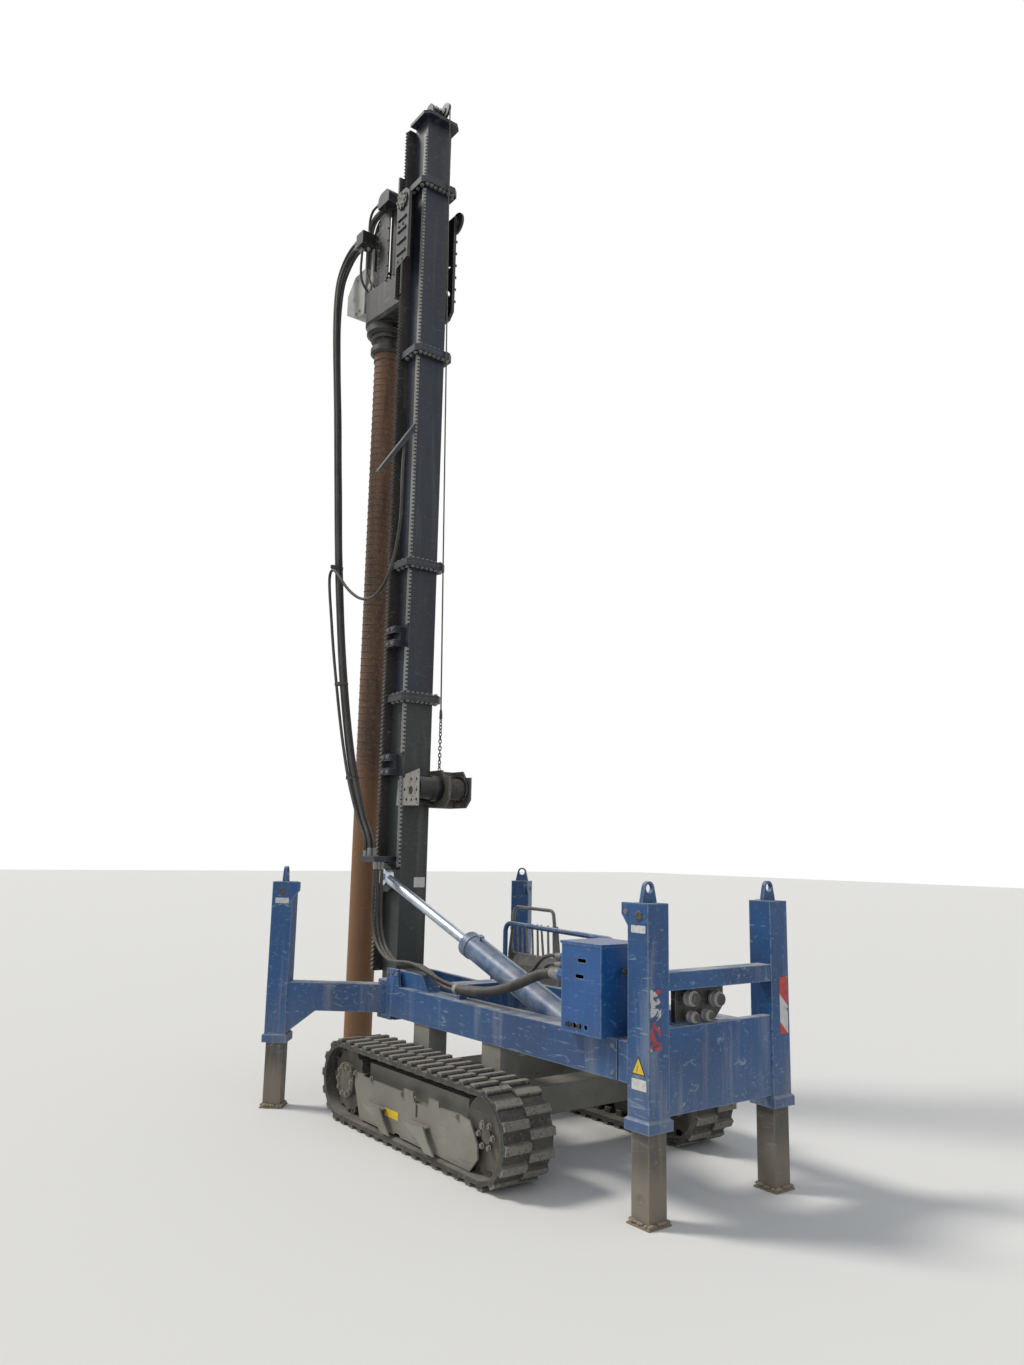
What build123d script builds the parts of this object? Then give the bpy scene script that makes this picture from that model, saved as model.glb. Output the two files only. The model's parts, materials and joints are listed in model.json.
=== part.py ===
from build123d import *
import math
import os

# Crawler piling rig in millimetres: +X forward, +Y to the machine's left, +Z up, ground at z = 0.
# The mast stands at the front, four jack legs stand at the corners of the chassis.

# Places along the machine
rear_x = -2116.0            # back faces of the rear jack posts
mast_set = 3000.0           # rear posts to the back of the mast
mast_back_x = rear_x + mast_set
tool_reach = 550.0          # mast front face to the axis of the drill tube

# Chassis frame
frame_half_width = 525.0
beam_width = 150.0
beam_bottom_z = 618.0
beam_top_z = 807.0
beam_wall = 12.0
beam_front_x = rear_x + 2435.0
module_gap_x = rear_x + 215.0   # joint between the rear module and the main beams
module_gap = 12.0
joiner_inset = 20.0
cross_width = 160.0
cross_height = 64.0
rear_cross_x = rear_x + 470.0
middle_cross_x = rear_x + 1260.0
link_width = 100.0
front_cheek = 20.0              # plate on the outer side of each beam's front end
front_cheek_rise = 110.0
hinge_block_rear_x = rear_x + 1990.0
hinge_block_front_x = rear_x + 2425.0
hinge_block_inner_y = 390.0
hinge_block_width = 95.0
hinge_block_height = 98.0

# Jack posts and legs
post_size = 140.0
post_wall = 8.0
post_bottom_z = 415.0
post_top_z = 1461.0
collar_height = 56.0
collar_proud = 12.0
leg_size = 116.0
leg_wall = 8.0
leg_clearance = 0.6
leg_length = 1130.0
foot_size = 150.0
foot_thickness = 14.0
foot_bevel = 8.0
lug_height = 104.0
lug_width = 98.0
lug_top = 34.0
lug_eye = 23.0
lug_thickness = 22.0
lug_foot_height = 10.0
ear_length = 44.0
ear_thickness = 30.0
ear_height = 111.0
leg_lift = 300.0
leg_drop = 400.0

# Front swing arms
arm_pivot_x = rear_x + 2520.0
arm_pivot_y = frame_half_width - 60.0
arm_length = 734.0
arm_width = 124.0
arm_rest_angle = 50.0
arm_haunch = 190.0
pin_clearance = 0.3
arm_pin_radius = 28.0
arm_sleeve_radius = 64.0
fork_plate = 26.0
tongue_length = 58.0
plate_gap = 5.0

# Rear frame
crossbar_bottom_z = 1049.0
crossbar_top_z = 1134.0
crossbar_depth = 90.0
crossbar_wall = 8.0
panel_bottom_z = 476.0
panel_top_z = 876.0
panel_thickness = 10.0
panel_lip = 50.0
panel_inset = 8.0
seat_gap = 0.3

# Hose couplings on a block under the rear crossbar: y, z, radius
block_rear_x = rear_x + 60.0
block_depth = 30.0
coupling_collar = 22.0
coupling_taper = 0.78
block_right_y = -70.0
block_left_y = 280.0
block_bottom_z = 884.0
couplings = (
    (206.0, 1000.0, 36.0),
    (20.0, 985.0, 36.0),
    (198.0, 912.0, 26.0),
    (92.0, 912.0, 26.0),
)

# Undercarriage
track_width = 320.0
track_inner_y = 535.0
track_height = 500.0
track_set = 650.0
track_length = 2000.0
track_rear_x = rear_x + track_set
track_front_x = track_rear_x + track_length
track_lug = 24.0
track_belt = 26.0
track_pitch = 105.0
lug_foot = 52.0
lug_tip = 36.0
side_frame_inset = 34.0
inner_plate = 34.0
cover_plate = 10.0
wheel_gap = 0.3
wheel_width = 180.0
axle_radius = 38.0
hub_radius = 105.0
sprocket_teeth = 13
sprocket_tooth = 24.0
roller_radius = 62.0
roller_width = 120.0
roller_count = 5
carrier_beam_x = (rear_x + 1260.0, rear_x + 2000.0)
carrier_beam_width = 180.0
carrier_beam_bottom_z = 210.0
carrier_beam_top_z = 370.0
carrier_post_width = 130.0
step_reach = 50.0
step_plate = 8.0

# Mast: the lower section, then the bolted sections above it
mast_width = 235.0
mast_depth = 200.0
mast_wall = 12.0
mast_foot_z = 470.0
mast_joint_z = 2847.0
section_lengths = (1067.0, 1803.0, 1516.0, 616.0)
mast_top_z = mast_joint_z + sum(section_lengths)
mast_pivot_x = mast_back_x - 50.0
mast_pivot_z = 750.0
mast_pin_radius = 40.0
pivot_boss = 35.0
foot_cheek = 30.0
flange_proud = 60.0
flange_thickness = 28.0
flange_bevel = 42.0
guide_plate = 25.0
guide_half_width = 165.0
rack_depth = 45.0
rack_pitch = 31.4
tooth_height = 22.0
rack_bottom_z = 800.0
rack_top_z = mast_top_z - 149.0
cap_height = 97.0
crown_height = 124.0
crown_strip = 14.0
crown_spacing = 46.0

# Brackets on the mast's left side
clamp_proud = 84.0
clamp_height = 160.0
clamp_length = 120.0
clamp_x = mast_back_x + 80.0
clamp_heights_z = (2250.0, 3250.0)
hose_bracket_z = 1600.0
hose_bracket_height = 40.0
hose_bracket_arm_x = mast_back_x + 64.0
hose_bracket_arm = 60.0
hose_bracket_inner_y = 285.0
hose_bracket_outer_y = 385.0
hose_shelf_length = 199.0
hose_bar_top_z = 5100.0
hose_bar_fall = 500.0
hose_bar_reach = 330.0
hose_bar_width = 50.0
hose_bar_wall = 7.0

# Mast cylinder
cylinder_y = 205.0
cylinder_foot_x = rear_x + 620.0
cylinder_foot_z = 630.0
rod_eye_x = mast_back_x + 50.0
rod_eye_z = 1490.0
barrel_radius = 75.0
barrel_wall = 10.0
barrel_length = 1410.0
gland_length = 60.0
gland_proud = 7.0
rod_radius = 34.0
rod_length = 1450.0
eye_radius = 62.0
eye_width = 60.0
eye_neck = 125.0
cylinder_pin_radius = 25.0
oil_pipe_radius = 8.0
oil_pipe_stand = 12.0
oil_clip_length = 36.0
ear_plate = 20.0

# Rotary head
gearbox_bottom_z = mast_top_z - 1609.0
gearbox_height = 310.0
gearbox_wall = 25.0
gearbox_rear_width = 320.0
gearbox_radius = 205.0
gearbox_front = 160.0       # tool axis to the flat front of the gearbox
gearbox_bevel = 24.0
bell_height = 80.0
bell_radius = 190.0
tool_radius = 110.0
tool_bottom_z = 20.0
tool_top_z = gearbox_bottom_z - 250.0
tool_wall = 12.0
tool_band = 8.0
tool_band_height = 60.0
spindle_radius = 150.0
spindle_neck = 118.0
head_drop = 3600.0
carriage_gap = 6.0
carriage_plate = 20.0
carriage_height = 1120.0
cheek = 25.0
cheek_rear_x = mast_back_x + 60.0
sheave_radius = 95.0
sheave_width = 24.0
motor_radius = 90.0
motor_wall = 12.0
motor_set_back = 201.0      # tool axis back to the motor column
motor_y = 25.0
motor_height = 735.0
motor_box_height = 130.0
motor_box_length = 185.0
motor_box_round = 60.0
pipe_radius = 30.0
pipe_spread_y = (60.0, 128.0)
pipe_bend = 110.0
side_plate = 12.0
side_plate_y = 142.0
manifold_length = 120.0
manifold_height = 120.0
manifold_outer_y = 285.0
port_spread_y = (205.0, 255.0)
port_radius = 18.0
port_length = 25.0
cover_reach = 334.0
cover_half_width = 170.0
cover_wall = 6.0

# Winch on the mast's right-hand back edge
winch_z = 2150.0
winch_y = -205.0
winch_x = mast_back_x - 175.0
winch_plate = 14.0
winch_shaft = 20.0
drum_radius = 70.0
drum_flange_radius = 105.0
drum_flange = 10.0
drum_length = 150.0

# Cabinet, levers and rail on the main beams
cabinet_rear_x = rear_x + 253.0
cabinet_length = 301.0
cabinet_outer_y = frame_half_width + 70.0
cabinet_depth = 300.0
cabinet_top_z = 1251.0
cabinet_lid = 14.0
cabinet_lid_proud = 6.0
sheet = 4.0
slot_length = 65.0
slot_width = 18.0
grommet_radius = 12.0
fitting_length = 50.0
lever_rear_x = rear_x + 1790.0
lever_pitch = 58.0
lever_count = 10
lever_y = -frame_half_width + 75.0
lever_block_width = 76.0
lever_block_top_z = 985.0
lever_length = 210.0
lever_lean = 26.0
lever_width = 16.0
hoop_radius = 12.0
hoop_top_z = 1305.0
hoop_slant = 75.0
rail_front_x = rear_x + 2355.0
rail_rear_x = rear_x + 1210.0
rail_z = 1190.0
rail_fall = 30.0
rail_radius = 17.0
rail_bend = 60.0
tube_sides = 8              # bent tubes, couplings and fittings are eight-sided, which keeps facets few
hose_sides = 6
roller_sides = 16

# Hoses follow points chosen by hand, x measured from the back of the machine.
hose_diameter = 28.0
thin_hose_diameter = 24.0
sheath_diameter = 56.0

# From the head's manifold down the left of the tube to the shelf on the mast
hose_drop_1_points = (
    (3925.3, 205, 7105), (4036, 205, 7105), (4132, 212, 7052), (4190, 232, 6956),
    (4200, 260, 6820), (4194, 278, 6640), (4168, 296, 6390), (4121, 307, 6100),
    (4077, 310, 5750), (4022, 308, 5390), (3986, 311, 5010), (3937, 308, 4630),
    (3896, 311, 4240), (3838, 308, 3860), (3772, 311, 3480), (3699, 308, 3110),
    (3600, 311, 2740), (3488, 308, 2380), (3345, 310, 2065), (3250, 309, 1915),
    (3150, 308, 1810), (3104, 308, 1725), (3104, 308, 1640),
)
hose_drop_2_points = (
    (3925.3, 255, 7055), (4022, 255, 7055), (4112, 261, 7004), (4160, 279, 6914),
    (4166, 304, 6794), (4156, 320, 6615), (4120, 334, 6365), (4070, 345, 6080),
    (4024, 342, 5730), (3968, 346, 5370), (3930, 343, 5010), (3882, 346, 4630),
    (3842, 342, 4240), (3784, 345, 3860), (3718, 342, 3475), (3643, 346, 3105),
    (3546, 343, 2735), (3430, 346, 2379), (3284, 343, 2064), (3196, 345, 1912),
    (3106, 348, 1808), (3062, 350, 1724), (3062, 350, 1640),
)

# From under the shelf down and back over the left beam to the end of the sheath
hose_low_1_points = (
    (2945, 304, 1599.7), (2945, 304, 1480), (2938, 306, 1320), (2918, 312, 1180),
    (2862, 322, 1060), (2755, 334, 975), (2620, 352, 928), (2470, 378, 925),
    (2310, 404, 946), (2150, 430, 952), (2005, 446, 922), (1895, 448, 876),
    (1800, 441, 854), (1722, 441, 854),
)
hose_low_2_points = (
    (2945, 364, 1599.7), (2945, 364, 1490), (2942, 366, 1332), (2930, 371, 1196),
    (2882, 381, 1076), (2780, 393, 996), (2640, 412, 948), (2488, 438, 944),
    (2324, 464, 962), (2162, 490, 966), (2014, 503, 944), (1904, 490, 912),
    (1804, 455, 878), (1722, 455, 878),
)

# The thick sheath from the cabinet's front along the left beam
sheath_points = (
    (604.3, 555, 1072), (710, 555, 1072), (850, 540, 1032), (1015, 518, 974),
    (1180, 500, 924), (1350, 484, 889), (1520, 466, 868), (1640, 455, 862),
    (1721.7, 455, 862),
)


def block(x0, x1, y0, y1, z0, z1):
    size = Box(x1 - x0, y1 - y0, z1 - z0)
    return Pos((x0 + x1) / 2, (y0 + y1) / 2, (z0 + z1) / 2) * size


def upright(x, y, z0, z1, radius):
    return Pos(x, y, (z0 + z1) / 2) * Cylinder(radius, z1 - z0)


def across(x, z, y0, y1, radius):
    return Pos(x, (y0 + y1) / 2, z) * Rot(90, 0, 0) * Cylinder(radius, y1 - y0)


def lengthwise(x0, x1, y, z, radius):
    return Pos((x0 + x1) / 2, y, z) * Rot(0, 90, 0) * Cylinder(radius, x1 - x0)


# A hose fitting or coupling: an eight-sided nut along X.
def nut(x0, x1, y, z, radius):
    face = Plane.YZ * Pos(y, z) * RegularPolygon(radius, tube_sides)
    return Pos(x0, 0, 0) * extrude(face, x1 - x0, dir=(1, 0, 0))


# An outline of (x, z) points between two planes across the machine.
def side_form(points, y0, y1):
    face = make_face(Plane.XZ * Polyline(*points, close=True))
    return Pos(0, y0, 0) * extrude(face, y1 - y0, dir=(0, 1, 0))


# An outline of (y, z) points between two planes along the machine.
def front_form(points, x0, x1):
    face = make_face(Plane.YZ * Polyline(*points, close=True))
    return Pos(x0, 0, 0) * extrude(face, x1 - x0, dir=(1, 0, 0))


# An outline of (x, y) points between two heights.
def plan_form(points, z0, z1):
    face = make_face(Polyline(*points, close=True))
    return Pos(0, 0, z0) * extrude(face, z1 - z0, dir=(0, 0, 1))


def turned(x, y, points):
    face = make_face(Plane.XZ * Polyline(*points, close=True))
    return Pos(x, y, 0) * revolve(face, Axis.Z)


def bent_tube(points, radius, bend):
    route = FilletPolyline(*points, radius=bend)
    ring = Plane(route @ 0, z_dir=route % 0) * RegularPolygon(radius, tube_sides)
    return sweep(ring, path=route)


def mirrored(shape):
    return mirror(shape, about=Plane.XZ)


def save(name, shape):
    shape.label = name
    export_step(shape, os.path.join("parts", name + ".step"))


# A jack post on its own axis: square tube, lifting lug, collar at its foot and an ear at its top.
def jack_post(ear_side):
    half = post_size / 2
    collar = half + collar_proud
    bore = half - post_wall
    guide = leg_size / 2 + leg_clearance
    post = block(-half, half, -half, half, post_bottom_z, post_top_z)
    ring = block(-collar, collar, -collar, collar, post_bottom_z, post_bottom_z + collar_height)
    ring = chamfer(ring.edges().group_by(Axis.Z)[-1], collar_proud * 0.8)
    lug = Pos(0, 0, post_top_z) * extrude(Plane.YZ * lug_outline(), lug_thickness / 2, both=True)
    reach = ear_side * (half + ear_length)
    ear = side_form(((ear_side * half, post_top_z), (reach, post_top_z),
                     (reach, post_top_z - ear_height / 2), (ear_side * half, post_top_z - ear_height)),
                    half - ear_thickness, half)
    post = post + ring + lug + ear
    post -= block(-bore, bore, -bore, bore, post_bottom_z + collar_height, post_top_z - post_wall)
    post -= block(-guide, guide, -guide, guide, post_bottom_z, post_bottom_z + collar_height)
    return post


# A tapered plate with a round top and a round eye.
def lug_outline():
    with BuildSketch() as sketch:
        with Locations((0, lug_foot_height / 2)):
            Rectangle(lug_width, lug_foot_height)
        with Locations((0, lug_height - lug_top)):
            Circle(lug_top)
        make_hull()
        with Locations((0, lug_height - lug_top)):
            Circle(lug_eye, mode=Mode.SUBTRACT)
    return sketch.sketch


def jack_leg():
    half = leg_size / 2
    inner = half - leg_wall
    foot = foot_size / 2
    leg = block(-half, half, -half, half, foot_thickness, leg_length)
    leg -= block(-inner, inner, -inner, inner, foot_thickness + leg_wall, leg_length - leg_wall)
    plate = block(-foot, foot, -foot, foot, 0, foot_thickness)
    return leg + chamfer(plate.edges().group_by(Axis.Z)[-1], foot_bevel)


post_x = rear_x + post_size / 2
post_y = frame_half_width - post_size / 2
arm_turn = Pos(arm_pivot_x, arm_pivot_y, 0) * Rot(0, 0, arm_rest_angle)
arm_end = Pos(arm_length, 0, 0)


# Both main beams with their cross members and the forks of the arm hinges.
def main_frame():
    y1 = frame_half_width
    y0 = y1 - beam_width
    z0, z1 = beam_bottom_z, beam_top_z
    beam = block(module_gap_x, beam_front_x, y0, y1, z0, z1)
    beam -= block(module_gap_x + beam_wall, beam_front_x - beam_wall, y0 + beam_wall, y1 - beam_wall,
                  z0 + beam_wall, z1 - beam_wall)
    for low in (z0 - fork_plate, z1):
        tongue = block(beam_front_x - tongue_length, arm_pivot_x, y0 + fork_plate, y1,
                       low, low + fork_plate)
        tongue += upright(arm_pivot_x, arm_pivot_y, low, low + fork_plate, arm_sleeve_radius)
        beam += tongue
    beam += upright(arm_pivot_x, arm_pivot_y, z0 - fork_plate, z1 + fork_plate, arm_pin_radius)
    front = beam_front_x
    top = z1 + front_cheek_rise
    cheek_plate = ((front - 155, z0), (front - 80, z0), (front, z1 - 40), (front, top),
                   (front - 135, top), (front - 155, z1))
    beam += side_form(cheek_plate, y1 - front_cheek, y1)
    frame = beam + mirrored(beam)
    for x in (rear_cross_x, middle_cross_x):
        frame += block(x - cross_width / 2, x + cross_width / 2, -y0, y0, z0, z0 + cross_height)
    return frame + hinge_block() + sheath_saddle()


# The raised block on top of the left beam, behind the arm hinge.
def hinge_block():
    x0, x1 = hinge_block_rear_x, hinge_block_front_x
    z0, z1 = beam_top_z, beam_top_z + hinge_block_height
    points = ((x0, z0), (x1, z0), (x1, z1 - 35), (x1 - 30, z1), (x0 + 70, z1))
    return side_form(points, hinge_block_inner_y, hinge_block_inner_y + hinge_block_width)


def sheath_saddle():
    x, y, z = sheath_points[-2]
    x += rear_x
    half = sheath_diameter / 2
    return block(x, x + half, y - half, y + half, beam_top_z, z - half - seat_gap)


# A swing arm: sleeve on the hinge pin, box arm and its haunch down to the post's collar.
def swing_arm():
    half = arm_width / 2
    post_face = arm_length - post_size / 2
    z0 = beam_bottom_z + plate_gap
    z1 = beam_top_z - plate_gap
    haunch_z = post_bottom_z + collar_height + plate_gap
    points = ((0, z0), (post_face - arm_haunch, z0), (post_face, haunch_z), (post_face, z1), (0, z1))
    arm = side_form(points, -half, half)
    arm += upright(0, 0, z0, z1, arm_sleeve_radius)
    arm -= upright(0, 0, z0, z1, arm_pin_radius + pin_clearance)
    return arm


def rear_crossbar():
    y = frame_half_width - post_size
    z0, z1 = crossbar_bottom_z, crossbar_top_z
    bar = block(rear_x, rear_x + crossbar_depth, -y, y, z0, z1)
    return bar - block(rear_x + crossbar_wall, rear_x + crossbar_depth - crossbar_wall, -y, y,
                       z0 + crossbar_wall, z1 - crossbar_wall)


def rear_module():
    y1 = frame_half_width
    end_x = module_gap_x - module_gap
    stub = block(rear_x + post_size, end_x, y1 - beam_width, y1, beam_bottom_z, beam_top_z)
    stub += block(end_x, module_gap_x, y1 - beam_width + joiner_inset, y1 - joiner_inset,
                  beam_bottom_z + joiner_inset, beam_top_z - joiner_inset)
    inner = post_y - post_size / 2
    link = block(rear_x + post_size - link_width, rear_x + post_size, -inner, inner,
                 beam_bottom_z, beam_bottom_z + cross_height)
    return stub + mirrored(stub) + link


# A folded sheet between the rear posts, its top and bottom edges turned inwards.
def rear_panel():
    y = frame_half_width - post_size
    x0 = rear_x + panel_inset
    panel = block(x0, x0 + panel_thickness, -y, y, panel_bottom_z, panel_top_z)
    for z in (panel_bottom_z, panel_top_z - panel_thickness):
        panel += block(x0, x0 + panel_lip, -y, y, z, z + panel_thickness)
    return panel


def port_block():
    x0, x1 = block_rear_x, block_rear_x + block_depth
    points = ((block_right_y, crossbar_bottom_z), (block_right_y, block_bottom_z + 60),
              (block_right_y + 60, block_bottom_z), (block_left_y, block_bottom_z),
              (block_left_y, crossbar_bottom_z))
    ports = front_form(points, x0, x1)
    for y, z, radius in couplings:
        ports += nut(x0 - coupling_collar, x0, y, z, radius)
        ports += nut(rear_x, x0 - coupling_collar, y, z, radius * coupling_taper)
    return ports


# Distance s runs along the outside of the belt from the front of the top run.
def track_spot(s, radius, run):
    half_turn = math.pi * radius
    if s < run:
        return -s, radius, 90.0
    s -= run
    if s < half_turn:
        angle = 90.0 + math.degrees(s / radius)
        return -run + radius * math.cos(math.radians(angle)), radius * math.sin(math.radians(angle)), angle
    s -= half_turn
    if s < run:
        return -run + s, -radius, 270.0
    s -= run
    angle = 270.0 + math.degrees(s / radius)
    return radius * math.cos(math.radians(angle)), radius * math.sin(math.radians(angle)), angle


def lugged_outline(phase):
    radius = track_height / 2 - track_lug
    run = track_run
    length = 2 * run + 2 * math.pi * radius
    count = round(length / track_pitch)
    corners = ((-lug_foot / 2, 0), (-lug_tip / 2, track_lug), (lug_tip / 2, track_lug), (lug_foot / 2, 0))
    points = []
    for index in range(count):
        middle = (index + phase) * length / count
        for offset, height in corners:
            x, z, angle = track_spot((middle + offset) % length, radius, run)
            turn = math.radians(angle)
            points.append((x + height * math.cos(turn), z + height * math.sin(turn)))
    return make_face(Plane.XZ * Polyline(*points, close=True))


# One rubber track, its two rows of lugs half a pitch apart.
def track():
    inner = track_height / 2 - track_lug - track_belt
    hole = Plane.XZ * Pos(-track_run / 2, 0) * SlotCenterToCenter(track_run, inner * 2)
    half = track_width / 2
    outer_row = extrude(lugged_outline(0.25), half)
    inner_row = extrude(lugged_outline(0.75), -half)
    belt = outer_row + inner_row - extrude(hole, half, both=True)
    return Pos(track_front_x - track_height / 2, track_inner_y + half, track_height / 2) * belt


track_run = track_front_x - track_rear_x - track_height
track_inside = track_height / 2 - track_lug - track_belt
track_mid_y = track_inner_y + track_width / 2
track_mid_z = track_height / 2
sprocket_x = track_front_x - track_height / 2
idler_x = track_rear_x + track_height / 2
frame_inner_y = track_inner_y + side_frame_inset
frame_outer_y = track_inner_y + track_width - side_frame_inset


# Frame inside one track: inner plate, box beam, and the cut-out cover plate with its two steps.
def track_frame():
    y0, y1 = frame_inner_y, frame_outer_y
    x0 = idler_x + track_inside + 12
    x1 = sprocket_x - track_inside - 12
    frame = block(x0, x1, y0 + 60, y1 - 60, 195, 385)
    frame += block(idler_x - 60, sprocket_x + 60, y0, y0 + inner_plate, 170, 330)
    frame += block(x0, x1, y0 + inner_plate, y0 + 60, 200, 320)
    frame += block(x0, x1 - 60, y1 - 60, y1 - cover_plate, 200, 280)
    return frame + track_cover() + track_step(rear_x + 1399) + track_step(rear_x + 1874)


# The cover's upper edge steps up at its tabs: distance from the back of the machine, height.
def track_cover():
    low = track_lug + track_belt + 12
    edge = ((1011, low - 8), (939, 131), (948, 203), (1017, 301), (1122, 314), (1313, 306),
            (1318, 335), (1417, 335), (1420, 283), (1585, 283), (1585, 335), (1685, 335),
            (1685, 313), (2150, 313), (2166, 326), (2262, 322), (2270, 250), (2225, 140),
            (2190, low), (1780, low), (1770, low + 14), (1718, low + 14), (1708, low))
    points = [(rear_x + x, z) for x, z in edge]
    cover = side_form(points, frame_outer_y - cover_plate, frame_outer_y)
    slot = Pos(rear_x + 1540, frame_outer_y, 240) * Rot(90, 0, 0) * SlotOverall(70, 22, rotation=90)
    return cover - extrude(slot, cover_plate * 2, both=True)


# A step folded out of the cover: a ledge and its face, which hangs down to the rear in a point.
def track_step(x):
    y = frame_outer_y + step_reach
    ledge = block(x, x + 205, frame_outer_y, y, 178, 178 + step_plate)
    face = ((x, 196), (x + 205, 178), (x + 190, 160), (x + 87, 132), (x - 30, 66), (x - 122, 66),
            (x - 60, 120))
    return ledge + side_form(face, y - step_plate, y)


def sprocket():
    tip = track_inside - wheel_gap
    root = tip - sprocket_tooth
    points = []
    for tooth in range(sprocket_teeth):
        for step, radius in ((-0.28, root), (-0.16, tip), (0.16, tip), (0.28, root)):
            turn = 2 * math.pi * (tooth + step) / sprocket_teeth
            points.append((sprocket_x + radius * math.cos(turn), track_mid_z + radius * math.sin(turn)))
    half = wheel_width / 2
    wheel = side_form(points, track_mid_y - half, track_mid_y + half)
    wheel += across(sprocket_x, track_mid_z, frame_inner_y + inner_plate, track_mid_y, axle_radius)
    return wheel + across(sprocket_x, track_mid_z, track_mid_y + half, frame_outer_y, hub_radius)


def idler():
    half = wheel_width / 2
    wheel = across(idler_x, track_mid_z, track_mid_y - half, track_mid_y + half, track_inside - wheel_gap)
    return wheel + across(idler_x, track_mid_z, frame_inner_y + inner_plate, track_mid_y + half + 14,
                          axle_radius)


def rollers():
    z = track_lug + track_belt + wheel_gap + roller_radius
    first = idler_x + track_inside + roller_radius + 15
    last = sprocket_x - track_inside - roller_radius - 15
    half = roller_width / 2
    made = []
    for index in range(roller_count):
        x = first + (last - first) * index / (roller_count - 1)
        rim = Plane.XZ * Pos(x, z) * RegularPolygon(roller_radius, roller_sides, rotation=90)
        made.append(Pos(0, track_mid_y, 0) * extrude(rim, half, both=True))
    return made


def undercarriage_beams():
    half = carrier_beam_width / 2
    beams = []
    for x in carrier_beam_x:
        beam = block(x - half, x + half, -frame_inner_y, frame_inner_y,
                     carrier_beam_bottom_z, carrier_beam_top_z)
        post = carrier_post_width / 2
        for middle in (beam_width / 2 - frame_half_width, frame_half_width - beam_width / 2):
            beam += block(x - half, x + half, middle - post, middle + post,
                          carrier_beam_top_z, beam_bottom_z)
        beams.append(beam)
    return beams


# A flange round the mast's back and both sides, its back corners bevelled.
def flange(z0):
    front = mast_back_x + mast_depth
    back = mast_back_x - flange_proud
    half = mast_width / 2 + flange_proud
    points = ((front, -half), (front, half), (back + flange_bevel, half), (back, half - flange_bevel),
              (back, flange_bevel - half), (back + flange_bevel, -half))
    return plan_form(points, z0, z0 + flange_thickness)


# One mast section: hollow box with a flange where it bolts to its neighbour.
def mast_section(z0, z1, lower_flange, upper_flange):
    half = mast_width / 2
    front = mast_back_x + mast_depth
    section = block(mast_back_x, front, -half, half, z0, z1)
    if lower_flange:
        section += flange(z0)
    if upper_flange:
        section += flange(z1 - flange_thickness)
    inner = half - mast_wall
    return section - block(mast_back_x + mast_wall, front - mast_wall, -inner, inner, z0, z1)


def mast_lower():
    half = mast_width / 2
    boss = mast_pin_radius + pivot_boss
    section = mast_section(mast_foot_z, mast_joint_z, False, True)
    pin = across(mast_pivot_x, mast_pivot_z, -half, half, boss)
    pin += block(mast_pivot_x, mast_back_x + 1, -half, half, mast_pivot_z - boss, mast_pivot_z + boss)
    pin -= across(mast_pivot_x, mast_pivot_z, -half, half, mast_pin_radius + pin_clearance)
    x, z = rod_eye_x, rod_eye_z
    bracket = ((x - 48, z - 60), (x + 40, z - 110), (x + 100, z - 110), (x + 100, z + 100),
               (x + 30, z + 80), (x - 48, z + 50))
    return section + pin + side_form(bracket, half, cylinder_y - eye_width / 2 - plate_gap - 1)


# A straight rack: bar along +Z with its teeth pointing along +Y.
def rack(length, depth, thickness):
    count = int(length // rack_pitch)
    body = depth - tooth_height
    points = [(0, 0), (body, 0)]
    for index in range(count):
        z = index * rack_pitch
        points.append((body + tooth_height, z + rack_pitch / 2))
        points.append((body, z + rack_pitch))
    points.append((0, count * rack_pitch))
    outline = make_face(Plane.YZ * Polyline(*points, close=True))
    return extrude(outline, thickness)


def front_racks():
    x = mast_back_x + mast_depth
    length = rack_top_z - rack_bottom_z
    plate = block(x, x + guide_plate, -guide_half_width, guide_half_width, rack_bottom_z, rack_top_z)
    strip = Pos(x, guide_half_width, rack_bottom_z) * rack(length, rack_depth, guide_plate)
    return plate + strip + mirrored(strip)


# Cap box on a bevelled plate, and the crown of three strips that holds the top sheave.
def mast_cap():
    z = mast_top_z
    half = mast_width / 2
    cap = flange(z)
    inner = half - mast_wall
    cap += block(mast_back_x + mast_wall, mast_back_x + mast_depth - mast_wall, -inner, inner,
                 z + flange_thickness, z + cap_height)
    top = z + cap_height + crown_height
    middle = mast_back_x + mast_depth / 2
    strip = ((middle - 60, z + cap_height), (middle + 60, z + cap_height), (middle + 60, top - 40),
             (middle + 25, top), (middle - 25, top), (middle - 60, top - 40))
    for y in (-crown_spacing, 0, crown_spacing):
        cap += side_form(strip, y - crown_strip / 2, y + crown_strip / 2)
    return cap + across(middle, top - 55, -crown_spacing, crown_spacing, 42)


def mast_foot():
    half = mast_width / 2 + plate_gap
    inner = frame_half_width - beam_width
    x0 = beam_front_x - 255
    x1 = x0 + cross_width
    foot = block(x0, x1, -inner, inner, beam_bottom_z, beam_top_z)
    pivot = mast_pin_radius + 30
    x, z = mast_pivot_x, mast_pivot_z
    points = ((x1, beam_bottom_z), (x + pivot, beam_bottom_z), (x + pivot, z + pivot / 2),
              (x + pivot / 2, z + pivot), (x - pivot, z + pivot), (x1, beam_top_z))
    for y in (-half - foot_cheek, half):
        foot += side_form(points, y, y + foot_cheek)
    return foot + across(mast_pivot_x, mast_pivot_z, -half, half, mast_pin_radius)


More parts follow.
